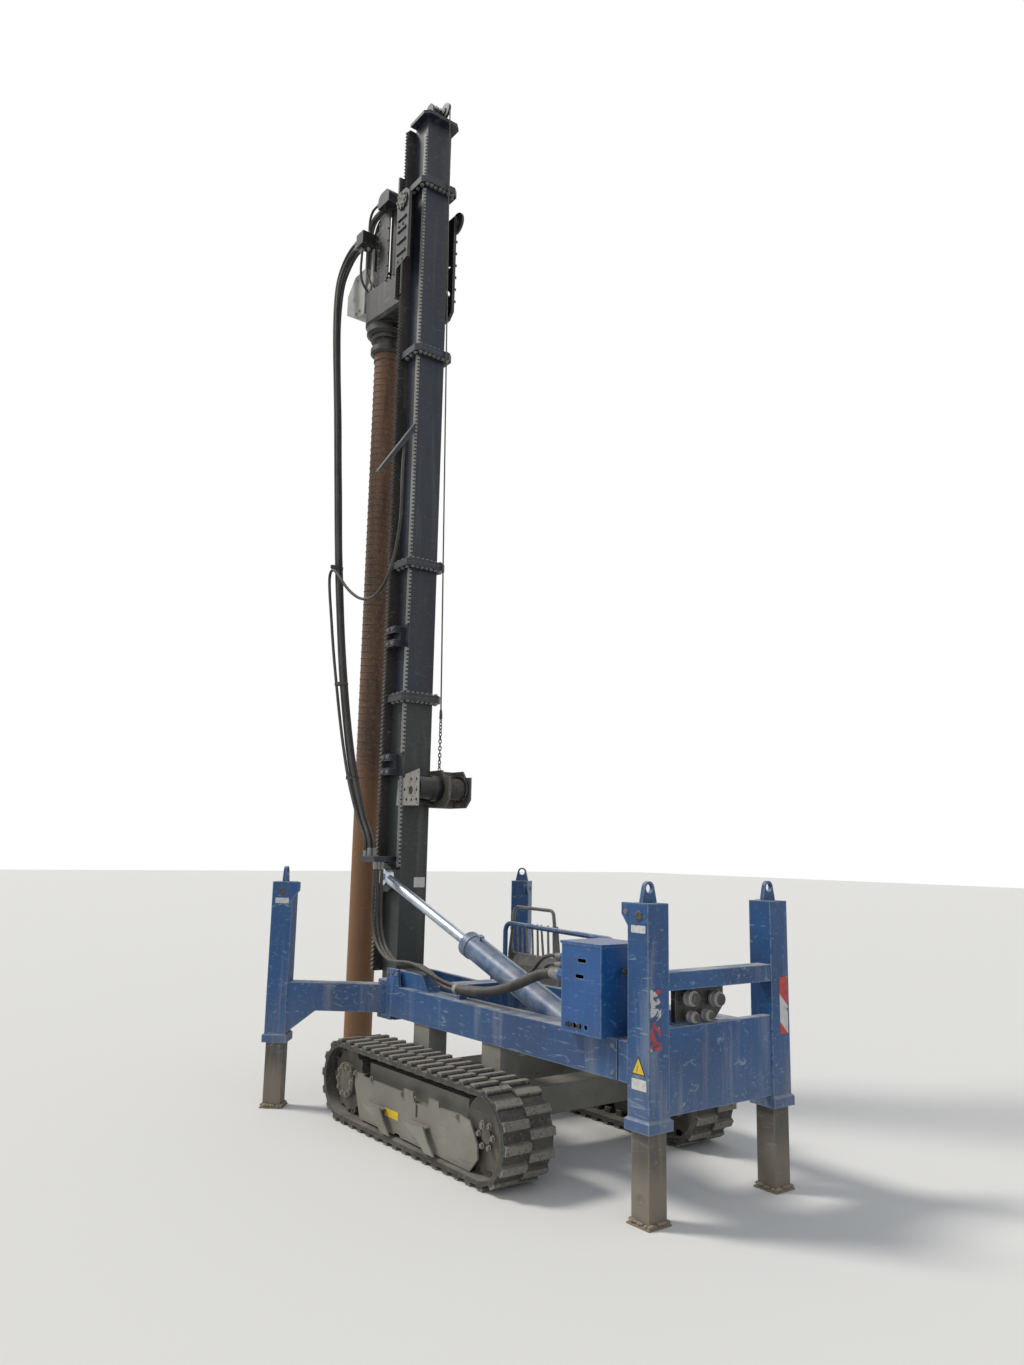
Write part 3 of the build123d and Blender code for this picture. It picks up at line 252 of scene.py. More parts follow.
# what a paint has unless it says otherwise: wear on its edges, scuffs on its flats, dust on its top faces,
# dust near the ground and the height that it reaches, roughness, streaks, and the scale of its darker patches
paintBase = {"wear": 0.6, "scuff": 0.3, "top": 0.5, "low": 0.0, "lowTo": 0.5, "rough": 0.5, "streak": 0.3,
             "dirt": dust["clay"], "patch": 1.6}
paints = {
    "bluePaint": {
        "paint": (0.010, 0.076, 0.225), "shade": (0.006, 0.045, 0.145), "chip": (0.20, 0.28, 0.36),
        "wear": 0.95, "scuff": 0.9, "top": 0.75, "low": 0.14, "lowTo": 0.8, "rough": 0.46, "streak": 0.22,
        "dirt": dust["pale"]},
    "cabinetPaint": {
        "paint": (0.008, 0.092, 0.30), "shade": (0.006, 0.066, 0.23), "chip": (0.20, 0.28, 0.38),
        "wear": 0.7, "scuff": 0.5, "top": 0.4, "low": 0.15, "lowTo": 0.9, "rough": 0.38, "streak": 0.06,
        "dirt": dust["sand"]},
    "mastPaint": {
        "paint": (0.0095, 0.0145, 0.030), "shade": (0.006, 0.009, 0.017), "chip": (0.10, 0.11, 0.11),
        "wear": 0.8, "scuff": 0.4, "top": 0.6, "dirt": (0.10, 0.11, 0.105)},
    "lowerMastPaint": {
        "paint": (0.024, 0.032, 0.034), "shade": (0.013, 0.018, 0.020), "chip": (0.12, 0.11, 0.10),
        "wear": 0.7, "scuff": 0.5, "top": 0.6, "low": 0.2, "lowTo": 1.6, "rough": 0.55, "streak": 0.5,
        "dirt": (0.13, 0.125, 0.105)},
    # the head's own dark paint, darkened further as painted shade for the shade the head stands in; the winch
    # gear case, crown sheave and carriage ribs take it too
    "headPaint": {
        "paint": (0.013, 0.013, 0.0135), "shade": (0.007, 0.007, 0.007), "chip": (0.17, 0.16, 0.15),
        "wear": 0.9, "scuff": 0.4, "rough": 0.45, "streak": 0.36, "dirt": (0.14, 0.13, 0.11)},
    "coverPaint": {
        "paint": (0.42, 0.42, 0.39), "shade": (0.28, 0.28, 0.26), "chip": (0.16, 0.12, 0.09),
        "scuff": 0.4, "rough": 0.55, "streak": 0.5, "dirt": dust["soot"]},
    "trackPlates": {
        "paint": (0.270, 0.268, 0.238), "shade": (0.175, 0.173, 0.150), "chip": (0.085, 0.075, 0.06),
        "wear": 0.55, "scuff": 0.45, "top": 0.9, "low": 0.22, "lowTo": 0.6, "rough": 0.72, "streak": 0.35},
    "legSteel": {
        "paint": (0.115, 0.105, 0.090), "shade": (0.060, 0.054, 0.046), "chip": (0.25, 0.24, 0.22),
        "scuff": 0.7, "top": 0.8, "low": 0.8, "lowTo": 0.20, "rough": 0.6, "streak": 0.7},
    "darkSteel": {
        "paint": (0.030, 0.028, 0.026), "shade": (0.014, 0.013, 0.012), "chip": (0.20, 0.19, 0.18),
        "wear": 0.8, "scuff": 0.5, "top": 0.6, "low": 0.35, "lowTo": 0.7, "rough": 0.48, "streak": 0.4},
    "barrelPaint": {
        "paint": (0.19, 0.25, 0.34), "shade": (0.055, 0.105, 0.22), "chip": (0.32, 0.38, 0.45),
        "patch": 7.0, "scuff": 0.8, "top": 0.3, "rough": 0.4, "dirt": dust["sand"]},
    "boltSteel": {
        "paint": (0.13, 0.125, 0.115), "shade": (0.06, 0.055, 0.05), "chip": (0.34, 0.33, 0.31),
        "wear": 0.9, "top": 0.4, "low": 0.3, "lowTo": 0.6, "rough": 0.42, "streak": 0.2},
    "rackSteel": {
        "paint": (0.22, 0.225, 0.215), "shade": (0.12, 0.125, 0.12), "chip": (0.42, 0.42, 0.40),
        "wear": 0.8, "rough": 0.42},
    "paleSteel": {
        "paint": (0.33, 0.33, 0.31), "shade": (0.22, 0.22, 0.20), "chip": (0.12, 0.10, 0.08),
        "scuff": 0.5, "top": 0.6, "rough": 0.55, "streak": 0.6, "dirt": dust["rust"]},
    "ropeSteel": {
        "paint": (0.055, 0.05, 0.045), "shade": (0.03, 0.026, 0.022), "chip": (0.18, 0.17, 0.16),
        "streak": 0.4, "dirt": dust["rust"]},
    "fittingSteel": {
        "paint": (0.30, 0.30, 0.29), "shade": (0.17, 0.165, 0.155), "chip": (0.50, 0.50, 0.48),
        "wear": 0.7, "scuff": 0.4, "rough": 0.36},
    "clayLumps": {
        "paint": (0.30, 0.25, 0.18), "shade": (0.20, 0.165, 0.12), "chip": (0.38, 0.33, 0.25),
        "wear": 0.3, "low": 0.5, "rough": 0.85, "streak": 0.2, "dirt": dust["sand"]},
    "leverSteel": {
        "paint": (0.10, 0.10, 0.10), "shade": (0.04, 0.04, 0.04), "chip": (0.35, 0.35, 0.34),
        "wear": 0.8, "rough": 0.4, "dirt": dust["sand"]},
}


def paintFinish(name, look):
    look = {**paintBase, **look}
    recipe = Recipe(name)
    times = recipe.times
    broad = recipe.noise(look["patch"], 4.0, 0.6)
    fine = recipe.noise(38.0, 5.0, 0.62)
    grain = recipe.noise(240.0, 2.0)
    base = recipe.mixed(recipe.between(broad, 0.35, 0.65), look["paint"], look["shade"])
    run = recipe.noise(9.0, 4.0, 0.6, place=recipe.stretch(1.0, 1.0, 0.09), warp=0.4)
    base = recipe.mixed(times(recipe.between(run, 0.52, 0.74), look["streak"]), base, look["dirt"])
    scrape = recipe.noise(26.0, 6.0, 0.7, place=recipe.stretch(0.18, 0.6, 1.0, (12, 4, 20)), warp=1.5)
    spots = recipe.between(recipe.noise(75.0, 6.0, 0.72, warp=0.8), 0.61, 0.68)
    scuff = recipe.calc("MAXIMUM", recipe.between(scrape, 0.57, 0.67), spots)
    edge = times(recipe.edges(0.012, 0.015, 0.18), recipe.between(fine, 0.34, 0.52))
    chip = recipe.calc("MAXIMUM", times(scuff, look["scuff"]), times(edge, look["wear"]))
    base = recipe.mixed(chip, base, look["chip"])
    settle = recipe.between(recipe.noise(6.0, 5.0, 0.65), 0.30, 0.62)
    top = times(times(recipe.upward(0.45), settle), look["top"])
    height = recipe.plus(recipe.part(recipe.place, 2), times(broad, -0.25))
    low = times(recipe.between(height, look["lowTo"], look["lowTo"] * 0.15), look["low"])
    grime = recipe.calc("MAXIMUM", top, low)
    base = recipe.mixed(grime, base, look["dirt"])
    rough = recipe.plus(times(fine, 0.22), look["rough"] - 0.1)
    relief = recipe.minus(recipe.plus(times(fine, 0.5), times(grain, 0.25)), chip)
    return recipe.close(base, recipe.plus(rough, times(grime, 0.35)), (relief, 0.35, 0.0015))


# the belt: a slot-shaped loop about two wheel centres, metres from the rear posts and the ground
belt = {"rear": 0.900, "front": 2.400, "height": 0.250, "lugFrom": 0.236, "lugTo": 0.244}


# rubber with dried mud in its hollows and scuffed pale lugs
rubber = {"dark": (0.030, 0.029, 0.027), "grey": (0.085, 0.080, 0.070), "dusty": (0.19, 0.175, 0.15),
          "lugTop": (0.26, 0.245, 0.215), "edge": (0.24, 0.225, 0.195), "mud": (0.36, 0.33, 0.28)}


def rubberFinish():
    recipe = Recipe("dustyRubber")
    times = recipe.times
    broad = recipe.noise(3.0, 5.0, 0.65)
    fine = recipe.noise(60.0, 5.0, 0.65)
    base = recipe.mixed(recipe.between(broad, 0.35, 0.7), rubber["dark"], rubber["grey"])
    base = recipe.mixed(recipe.between(fine, 0.52, 0.74), base, rubber["dusty"])
    along = recipe.calc("MAXIMUM", recipe.part(recipe.place, 0), rearX + belt["rear"])
    along = recipe.calc("MINIMUM", along, rearX + belt["front"])
    middle = recipe.node("CombineXYZ", {0: along, 1: recipe.part(recipe.place, 1), 2: belt["height"]})
    reach = recipe.node("VectorMath", {0: recipe.place, 1: middle.outputs[0]}, operation="DISTANCE")
    lug = recipe.between(reach.outputs["Value"], belt["lugFrom"], belt["lugTo"])
    lug = times(lug, recipe.between(fine, 0.30, 0.52))
    base = recipe.mixed(times(lug, 0.75), base, rubber["lugTop"])
    base = recipe.mixed(times(recipe.edges(0.010), 0.45), base, rubber["edge"])
    settle = times(recipe.between(broad, 0.2, 0.6), 0.45)
    base = recipe.mixed(times(recipe.upward(0.3), settle), base, rubber["mud"])
    return recipe.close(base, 0.86, (fine, 0.5, 0.003))


# rusty spiral-welded tube: brown bands, dark scale, and a redder end below a height in metres
rust = {"brown": (0.150, 0.080, 0.046), "dark": (0.066, 0.042, 0.031), "scoured": (0.28, 0.19, 0.13),
        "scale": (0.045, 0.028, 0.020), "red": (0.25, 0.125, 0.055), "redFrom": 2.6, "redTo": 1.9}


def rustFinish():
    recipe = Recipe("rustyTube")
    times = recipe.times
    broad = recipe.noise(2.4, 5.0, 0.65, place=recipe.stretch(2.0, 2.0, 0.35))
    fine = recipe.noise(46.0, 6.0, 0.68)
    base = recipe.mixed(recipe.between(broad, 0.3, 0.7), rust["brown"], rust["dark"])
    base = recipe.mixed(times(recipe.between(fine, 0.46, 0.70), 0.55), base, rust["scoured"])
    run = recipe.noise(13.0, 4.0, 0.62, place=recipe.stretch(1.0, 1.0, 0.12), warp=0.5)
    base = recipe.mixed(times(recipe.between(run, 0.52, 0.72), 0.6), base, rust["scale"])
    lower = recipe.between(recipe.part(recipe.place, 2), rust["redFrom"], rust["redTo"])
    base = recipe.mixed(times(lower, 0.6), base, rust["red"])
    return recipe.close(base, recipe.plus(times(fine, 0.35), 0.5), (fine, 0.5, 0.003), 0.25)


chrome = {"bright": (0.50, 0.55, 0.62), "dull": (0.30, 0.34, 0.40)}


def chromeFinish():
    recipe = Recipe("workedChrome")
    wipe = recipe.noise(30.0, 3.0, 0.6, place=recipe.stretch(0.3, 1.0, 0.3))
    base = recipe.mixed(recipe.between(wipe, 0.45, 0.75), chrome["bright"], chrome["dull"])
    return recipe.close(base, recipe.plus(recipe.times(wipe, 0.3), 0.22), metal=1.0)


hoseLook = {"black": (0.015, 0.0145, 0.014), "grey": (0.055, 0.050, 0.043), "dust": (0.14, 0.128, 0.11)}


def hoseFinish():
    recipe = Recipe("dustyHose")
    broad = recipe.noise(5.0, 5.0, 0.6)
    fine = recipe.noise(120.0, 3.0, 0.6)
    base = recipe.mixed(recipe.between(broad, 0.35, 0.7), hoseLook["black"], hoseLook["grey"])
    settle = recipe.times(recipe.upward(0.0), recipe.between(fine, 0.35, 0.6))
    base = recipe.mixed(settle, base, hoseLook["dust"])
    return recipe.close(base, 0.62, (fine, 0.25, 0.001))


# printed plates and stickers, all blank: face, second stripe, how much has worn away, what shows there
labels = {
    "labelWhite": {"face": (0.62, 0.62, 0.60), "worn": 0.10, "under": (0.05, 0.08, 0.16)},
    "labelYellow": {"face": (0.75, 0.52, 0.02), "worn": 0.12, "under": (0.10, 0.09, 0.07)},
    "labelBlack": {"face": (0.012, 0.012, 0.012), "worn": 0.05, "under": (0.10, 0.10, 0.10)},
    "hazardWorn": {"face": (0.50, 0.50, 0.50), "stripe": (0.42, 0.018, 0.014), "worn": 0.62,
                   "under": (0.022, 0.06, 0.17)},
    "hazardStripes": {"face": (0.60, 0.60, 0.60), "stripe": (0.50, 0.020, 0.014), "worn": 0.06,
                      "under": (0.022, 0.06, 0.17)},
}


def labelFinish(name, look):
    recipe = Recipe(name)
    times = recipe.times
    base = look["face"]
    if "stripe" in look:
        lift = recipe.calc("SUBTRACT", recipe.part(recipe.place, 2), recipe.part(recipe.place, 1))
        sine = recipe.calc("SINE", times(lift, 22.0))
        base = recipe.mixed(recipe.between(sine, -0.02, 0.02), base, look["stripe"])
    smear = recipe.noise(34.0, 5.0, 0.7)
    base = recipe.mixed(times(recipe.between(smear, 0.4, 0.75), 0.45), base, dust["clay"])
    limit = 0.68 - look["worn"] * 0.32
    torn = recipe.between(recipe.noise(17.0, 6.0, 0.6, warp=0.6), limit, limit + 0.02)
    base = recipe.mixed(torn, base, look["under"])
    return recipe.close(base, recipe.plus(times(smear, 0.3), 0.32), (recipe.minus(1.0, torn), 0.2, 0.0005))


finishes = {name: paintFinish(name, look) for name, look in paints.items()}
finishes.update({name: labelFinish(name, look) for name, look in labels.items()})
finishes["rubber"] = rubberFinish()
finishes["rust"] = rustFinish()
finishes["chrome"] = chromeFinish()
finishes["hose"] = hoseFinish()

# which finish each of the record's slots takes
slotFinish = {
    "blue_paint": "bluePaint", "cabinet_paint": "cabinetPaint", "mast_paint": "mastPaint",
    "lower_mast_paint": "lowerMastPaint", "head_paint": "headPaint", "cover_paint": "coverPaint",
    "track_steel": "trackPlates", "leg_steel": "legSteel", "rack_steel": "darkSteel",
    "barrel_paint": "barrelPaint", "rod_chrome": "chrome", "track_rubber": "rubber",
    "wheel_steel": "darkSteel", "tube_rust": "rust", "lever_steel": "leverSteel", "hose_rubber": "hose",
}
# painted shade: the port block takes the dark finish to stand for the shaded inside of the rear frame behind
# the couplings
paintedShadeNodes = {"port_block": "darkSteel"}             # nodes that differ from the rest of their slot
for entry in frame["record"]["subparts"]:
    wanted = finishes[paintedShadeNodes.get(entry["node"], slotFinish[entry["material_slot"]])]
    for place in nodes[entry["node"]].material_slots:
        place.material = wanted
print("finishes on", len(nodes), "nodes")


# a place on the machine, given in millimetres from the back of the rear posts, the middle and the ground
def at(x, y, z):
    return Vector((rearX + x / 1000, y / 1000, z / 1000))


# angles all the way round
def evenly(count, start=0.0):
    return [math.tau * i / count + start for i in range(count)]


# places around a circle in a plane: its two coordinates and the angle
def around(first, second, radius, angles):
    return [(first + radius * math.cos(a), second + radius * math.sin(a), a) for a in angles]


# places around a point in space, in the plane of two directions
def ringOf(middle, side, other, radius, count):
    return [middle + (side * math.cos(a) + other * math.sin(a)) * radius / 1000 for a in evenly(count)]


class Shaper:
    def __init__(self):
        self.form = bmesh.new()

    def shell(self, places, faces):
        points = [self.form.verts.new(place) for place in places]
        for face in faces:
            self.form.faces.new([points[i] for i in face])

    # an outline pushed along a vector
    def slab(self, outline, push):
        count = len(outline)
        near = [Vector(place) for place in outline]
        far = [place + Vector(push) for place in near]
        sides = [(i, (i + 1) % count, (i + 1) % count + count, i + count) for i in range(count)]
        self.shell(near + far, [tuple(range(count))[::-1], tuple(range(count, 2 * count))] + sides)

    def block(self, x0, x1, y0, y1, z0, z1):
        self.slab([at(x0, y0, z0), at(x1, y0, z0), at(x1, y1, z0), at(x0, y1, z0)], (0, 0, (z1 - z0) / 1000))

    # one skin over rings of points, closed at both ends
    def skin(self, rings):
        count = len(rings[0])
        last = (len(rings) - 1) * count
        faces = []
        for row in range(0, last, count):
            for i in range(count):
                j = (i + 1) % count
                faces.append((row + i, row + j, row + count + j, row + count + i))
        faces += [tuple(range(count))[::-1], tuple(range(last, last + count))]
        self.shell([place for ring in rings for place in ring], faces)

    # rings around an axis: each row is (distance along, radius) in millimetres
    def turned(self, start, toward, rows, sides=16):
        toward = Vector(toward).normalized()
        side = toward.orthogonal().normalized()
        other = toward.cross(side)
        self.skin([ringOf(Vector(start) + toward * along / 1000, side, other, radius, sides)
                   for along, radius in rows])

    # a round tube along a line of points, its rings turned without twist
    def tube(self, line, radius, sides=12):
        rings = []
        side = (line[1] - line[0]).orthogonal().normalized()
        for i, middle in enumerate(line):
            toward = (line[min(i + 1, len(line) - 1)] - line[max(i - 1, 0)]).normalized()
            side = (side - toward * side.dot(toward)).normalized()
            rings.append(ringOf(middle, side, toward.cross(side), radius, sides))
        self.skin(rings)

    def piece(self, name, finish, slot, bevel=0.0, crease=35):
        bmesh.ops.recalc_face_normals(self.form, faces=self.form.faces[:])
        mesh = bpy.data.meshes.new(name)
        self.form.to_mesh(mesh)
        self.form.free()
        mesh.materials.append(finishes[finish])
        mesh.shade_smooth()
        mesh.set_sharp_from_angle(angle=math.radians(crease))
        made = addObject(name, mesh)
        if bevel:
            soft = made.modifiers.new("softEdges", "BEVEL")
            soft.width = bevel / 1000
            soft.segments = 2
            soft.limit_method = "ANGLE"
            soft.angle_limit = math.radians(40)
        return made

    def onBody(self, name, body, finish, slot, bevel=0.0):
        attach(self.piece(name, finish, slot, bevel), body)


# hoses: the points that each route follows, in millimetres
dropPoints = {
    "hoseDropOne": (
        (3925.3, 205, 7105), (4036, 205, 7105), (4132, 212, 7052), (4190, 232, 6956),
        (4200, 260, 6820), (4194, 278, 6640), (4168, 296, 6390), (4121, 307, 6100),
        (4077, 310, 5750), (4022, 308, 5390), (3986, 311, 5010), (3937, 308, 4630),
        (3896, 311, 4240), (3838, 308, 3860), (3772, 311, 3480), (3699, 308, 3110),
        (3600, 311, 2740), (3488, 308, 2380), (3345, 310, 2065), (3250, 309, 1915),
        (3150, 308, 1810), (3104, 308, 1725), (3104, 308, 1640)),
    "hoseDropTwo": (
        (3925.3, 255, 7055), (4022, 255, 7055), (4112, 261, 7004), (4160, 279, 6914),
        (4166, 304, 6794), (4156, 320, 6615), (4120, 334, 6365), (4070, 345, 6080),
        (4024, 342, 5730), (3968, 346, 5370), (3930, 343, 5010), (3882, 346, 4630),
        (3842, 342, 4240), (3784, 345, 3860), (3718, 342, 3475), (3643, 346, 3105),
        (3546, 343, 2735), (3430, 346, 2379), (3284, 343, 2064), (3196, 345, 1912),
        (3106, 348, 1808), (3062, 350, 1724), (3062, 350, 1640)),
    "hoseDropThree": (
        (3925.3, 255, 7105), (4030, 255, 7105), (4126, 262, 7053), (4182, 280, 6958),
        (4197, 304, 6824), (4191, 320, 6645), (4156, 334, 6395), (4106, 345, 6105),
        (4061, 342, 5755), (4005, 346, 5395), (3969, 343, 5030), (3918, 346, 4650),
        (3880, 342, 4260), (3820, 345, 3880), (3757, 342, 3490), (3680, 346, 3120),
        (3586, 343, 2750), (3470, 346, 2390), (3330, 343, 2075), (3242, 345, 1920),
        (3149, 348, 1812), (3104, 350, 1727), (3104, 350, 1640)),
    "hoseDropFour": (
        (3925.3, 205, 7055), (4024, 205, 7055), (4115, 211, 7003), (4162, 229, 6914),
        (4168, 258, 6794), (4162, 277, 6620), (4134, 297, 6370), (4086, 308, 6080),
        (4038, 311, 5730), (3989, 308, 5370), (3948, 310, 4995), (3901, 308, 4610),
        (3858, 311, 4225), (3802, 308, 3845), (3738, 310, 3465), (3661, 308, 3095),
        (3560, 311, 2725), (3446, 309, 2365), (3298, 308, 2054), (3206, 309, 1905),
        (3106, 308, 1806), (3062, 308, 1722), (3062, 308, 1640)),
}
lowPoints = {
    "hoseLowOne": (
        (2945, 304, 1599.7), (2945, 304, 1480), (2938, 306, 1320), (2918, 312, 1180),
        (2862, 322, 1060), (2755, 334, 975), (2620, 352, 928), (2470, 378, 925),
        (2310, 404, 946), (2150, 430, 952), (2005, 446, 922), (1895, 448, 876),
        (1800, 441, 854), (1722, 441, 854)),
    "hoseLowTwo": (
        (2945, 364, 1599.7), (2945, 364, 1490), (2942, 366, 1332), (2930, 371, 1196),
        (2882, 381, 1076), (2780, 393, 996), (2640, 412, 948), (2488, 438, 944),
        (2324, 464, 962), (2162, 490, 966), (2014, 503, 944), (1904, 490, 912),
        (1804, 455, 878), (1722, 455, 878)),
    "hoseLowThree": (
        (2945, 334, 1599.7), (2945, 334, 1484), (2940, 336, 1326), (2924, 342, 1186),
        (2870, 352, 1064), (2766, 364, 982), (2626, 382, 934), (2476, 408, 930),
        (2316, 434, 950), (2156, 460, 955), (2008, 475, 926), (1898, 477, 880),
        (1802, 469, 854), (1722, 469, 854)),
}
dropHose = {"size": 28, "length": 5.78, "bends": ("carriage", "mast"),
            "from": (3925, 205, 7105), "to": (3925, 205, 1640)}
lowHose = {"size": 24, "length": 1.75, "bends": ("mast", "chassis"),
           "from": (2945, 304, 1599), "to": (2945, 304, 1000)}
routes = {
    "hoseSheath": {"size": 56, "length": 1.15, "body": "chassis", "end": "bare", "points": (
        (604.3, 555, 1072), (710, 555, 1072), (850, 540, 1032), (1015, 518, 974), (1180, 500, 924),
        (1350, 484, 889), (1520, 466, 868), (1640, 455, 862), (1721.7, 455, 862))},
    "cabinetHoseUpper": {"size": 20, "length": 1.64, "body": "chassis", "points": (
        (604.3, 555, 1164), (700, 555, 1164), (800, 530, 1130), (900, 488, 1076), (1015, 462, 1010),
        (1180, 446, 948), (1350, 430, 906), (1520, 414, 884), (1660, 400, 876), (1775, 386, 866),
        (1855, 345, 842), (1893, 290, 790), (1898, 262, 715), (1899, 285, 655), (1900, 330, 634),
        (1900, 375, 632))},
    "cabinetHoseLower": {"size": 20, "length": 1.52, "body": "chassis", "points": (
        (604.3, 555, 1120), (690, 555, 1120), (770, 520, 1095), (870, 468, 1040), (1000, 440, 984),
        (1170, 424, 930), (1345, 406, 898), (1515, 390, 880), (1650, 376, 866), (1735, 346, 846),
        (1790, 300, 795), (1806, 266, 720), (1808, 285, 658), (1810, 330, 634), (1810, 375, 632))},
    "barHose": {"size": 24, "length": 4.63, "body": "mast", "points": (
        (3030, 200, 4945), (3024, 214, 4840), (3000, 236, 4640), (2968, 250, 4400), (2962, 256, 4200),
        (3004, 268, 3960), (3090, 282, 3760), (3230, 300, 3650), (3400, 330, 3650), (3570, 366, 3760),
        (3690, 392, 3900), (3800, 396, 3990), (3880, 388, 3960), (3880, 380, 3820), (3830, 378, 3600),
        (3760, 378, 3300), (3660, 377, 2950), (3540, 378, 2580), (3400, 377, 2230), (3280, 376, 2020),
        (3172, 375, 1860), (3092, 375, 1770), (3083, 374, 1700), (3083, 373, 1640.5))},
    "manifoldHose": {"size": 22, "length": 0.36, "body": "carriage", "points": (
        (3825, 200, 7140.3), (3825, 200, 7215), (3818, 200, 7300), (3775, 200, 7356), (3700, 200, 7356),
        (3641.3, 200, 7356))},
    "gearboxHose": {"size": 22, "length": 0.49, "body": "carriage", "points": (
        (3820, 200, 7019.7), (3820, 200, 6950), (3822, 206, 6850), (3812, 206, 6740), (3770, 190, 6650),
        (3735, 172, 6600), (3735, 172, 6550.3))},
    "motorHose": {"size": 22, "length": 0.85, "body": "carriage", "points": (
        (3866, 240, 7019.7), (3866, 240, 6940), (3870, 245, 6820), (3862, 235, 6700), (3850, 190, 6622),
        (3850, 130, 6600), (3850, 80, 6650), (3850, 60, 6720), (3820, 50, 6780), (3760, 40, 6780),
        (3639, 25, 6780))},
}
routes.update({name: {**dropHose, "points": points} for name, points in dropPoints.items()})
routes.update({name: {**lowHose, "points": points} for name, points in lowPoints.items()})
# the nodes that a hose stands in for
hoseNodes = {"hoseSheath": "hose_sheath", "hoseDropOne": "hose_drop_1", "hoseDropTwo": "hose_drop_2",
             "hoseLowOne": "hose_low_1", "hoseLowTwo": "hose_low_2"}


def routeCurve(name, points):
    curve = bpy.data.curves.new(name, "CURVE")
    curve.dimensions = "3D"
    curve.resolution_u = 9
    spline = curve.splines.new("NURBS")
    spline.points.add(len(points) - 1)
    for point, place in zip(spline.points, points):
        point.co = (*at(*place), 1.0)
    spline.order_u = 3
    spline.use_endpoint_u = True
    return curve


# the smooth line itself, read from the route's own spline
def routeLine(name, points):
    curve = routeCurve(name + "Guide", points)
    guide = bpy.data.objects.new(name + "Guide", curve)
    mesh = bpy.data.meshes.new_from_object(guide)
    line = [vertex.co.copy() for vertex in mesh.vertices]
    bpy.data.objects.remove(guide)
    bpy.data.curves.remove(curve)
    bpy.data.meshes.remove(mesh)
    return line


# a hose that bends between two bodies is a mesh along its line, any other one stays a curve
def makeHose(name, route, line):
    size = route["size"] / 1000
    bends = "bends" in route
    if bends:
        shape = Shaper()
        shape.tube(line, route["size"] / 2)
        hose = shape.piece(name, "hose", "hose_rubber", crease=60)
        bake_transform(hose)
    else:
        curve = routeCurve(name, route["points"])
        curve.bevel_depth = size / 2
        curve.bevel_resolution = 3
        curve.use_fill_caps = True
        curve.materials.append(finishes["hose"])
        hose = mount(name, curve, route["body"])
    if name in hoseNodes:
        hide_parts(hoseNodes[name])


lines = {}
for name, route in routes.items():
    line = routeLine(name, route["points"])
    lines[name] = line
    makeHose(name, route, line)
    print("hose", name, "is", round(sum((b - a).length for a, b in zip(line, line[1:])), 3), "m long")


# growing repeated things with geometry nodes


class Grower(NodeMaker):
    def __init__(self, name, sockets):
        super().__init__(bpy.data.node_groups.new(name, "GeometryNodeTree"))
        face = self.tree.interface
        face.new_socket(name="Geometry", in_out="INPUT", socket_type="NodeSocketGeometry")
        for label, kind in sockets.items():
            face.new_socket(name=label, in_out="INPUT", socket_type="NodeSocket" + kind)
        face.new_socket(name="Geometry", in_out="OUTPUT", socket_type="NodeSocketGeometry")
        self.given = self.tree.nodes.new("NodeGroupInput").outputs
        self.result = self.tree.nodes.new("NodeGroupOutput").inputs["Geometry"]

    def attribute(self, name, kind):
        stored = self.node("GeometryNodeInputNamedAttribute", {"Name": name}, data_type=kind)
        return stored.outputs["Attribute"]

    # copies a form onto every point, its Z along the point's facing, its turn from the point's roll
    def copies(self, form):
        facing = self.attribute("facing", "FLOAT_VECTOR")
        spin = self.node("ShaderNodeCombineXYZ", {"Z": self.attribute("roll", "FLOAT")})
        aim = self.node("FunctionNodeAlignRotationToVector", {"Vector": facing}, axis="Z")
        turn = self.node("FunctionNodeRotateRotation", {"Rotation": aim.outputs[0]}, rotation_space="LOCAL")
        change = self.node("FunctionNodeEulerToRotation", {0: spin.outputs[0]})
        self.tree.links.new(change.outputs[0], turn.inputs["Rotate By"])
        placed = self.node("GeometryNodeInstanceOnPoints", {
            "Points": self.given["Geometry"], "Instance": form, "Rotation": turn.outputs[0]})
        self.close(placed.outputs[0])

    def close(self, form):
        real = self.node("GeometryNodeRealizeInstances", {"Geometry": form})
        done = self.node("GeometryNodeSetMaterial", {
            "Geometry": real.outputs[0], "Material": self.given["Finish"]})
        self.tree.links.new(done.outputs[0], self.result)

    def circle(self, corners, radius):
        circle = self.node("GeometryNodeCurvePrimitiveCircle", {"Resolution": corners, "Radius": radius})
        return circle.outputs["Curve"]

    def moved(self, form, shift, turn=(0, 0, 0), scale=(1, 1, 1)):
        return self.node("GeometryNodeTransform", {"Geometry": form, "Translation": shift, "Rotation": turn,
                                                   "Scale": scale}).outputs[0]

    def grow(self, name, seed, values):
        values = {**values, "Finish": finishes[values["Finish"]]}
        owner = addObject(name + "Seed", seed)
        modifier = owner.modifiers.new(name, "NODES")
        modifier.node_group = self.tree
        for item in self.tree.interface.items_tree:
            if item.in_out == "INPUT" and item.name in values:
                modifier[item.identifier] = values[item.name]
        bpy.context.view_layer.update()
        mesh = bpy.data.meshes.new_from_object(owner.evaluated_get(bpy.context.evaluated_depsgraph_get()))
        bpy.data.objects.remove(owner)
        return mesh


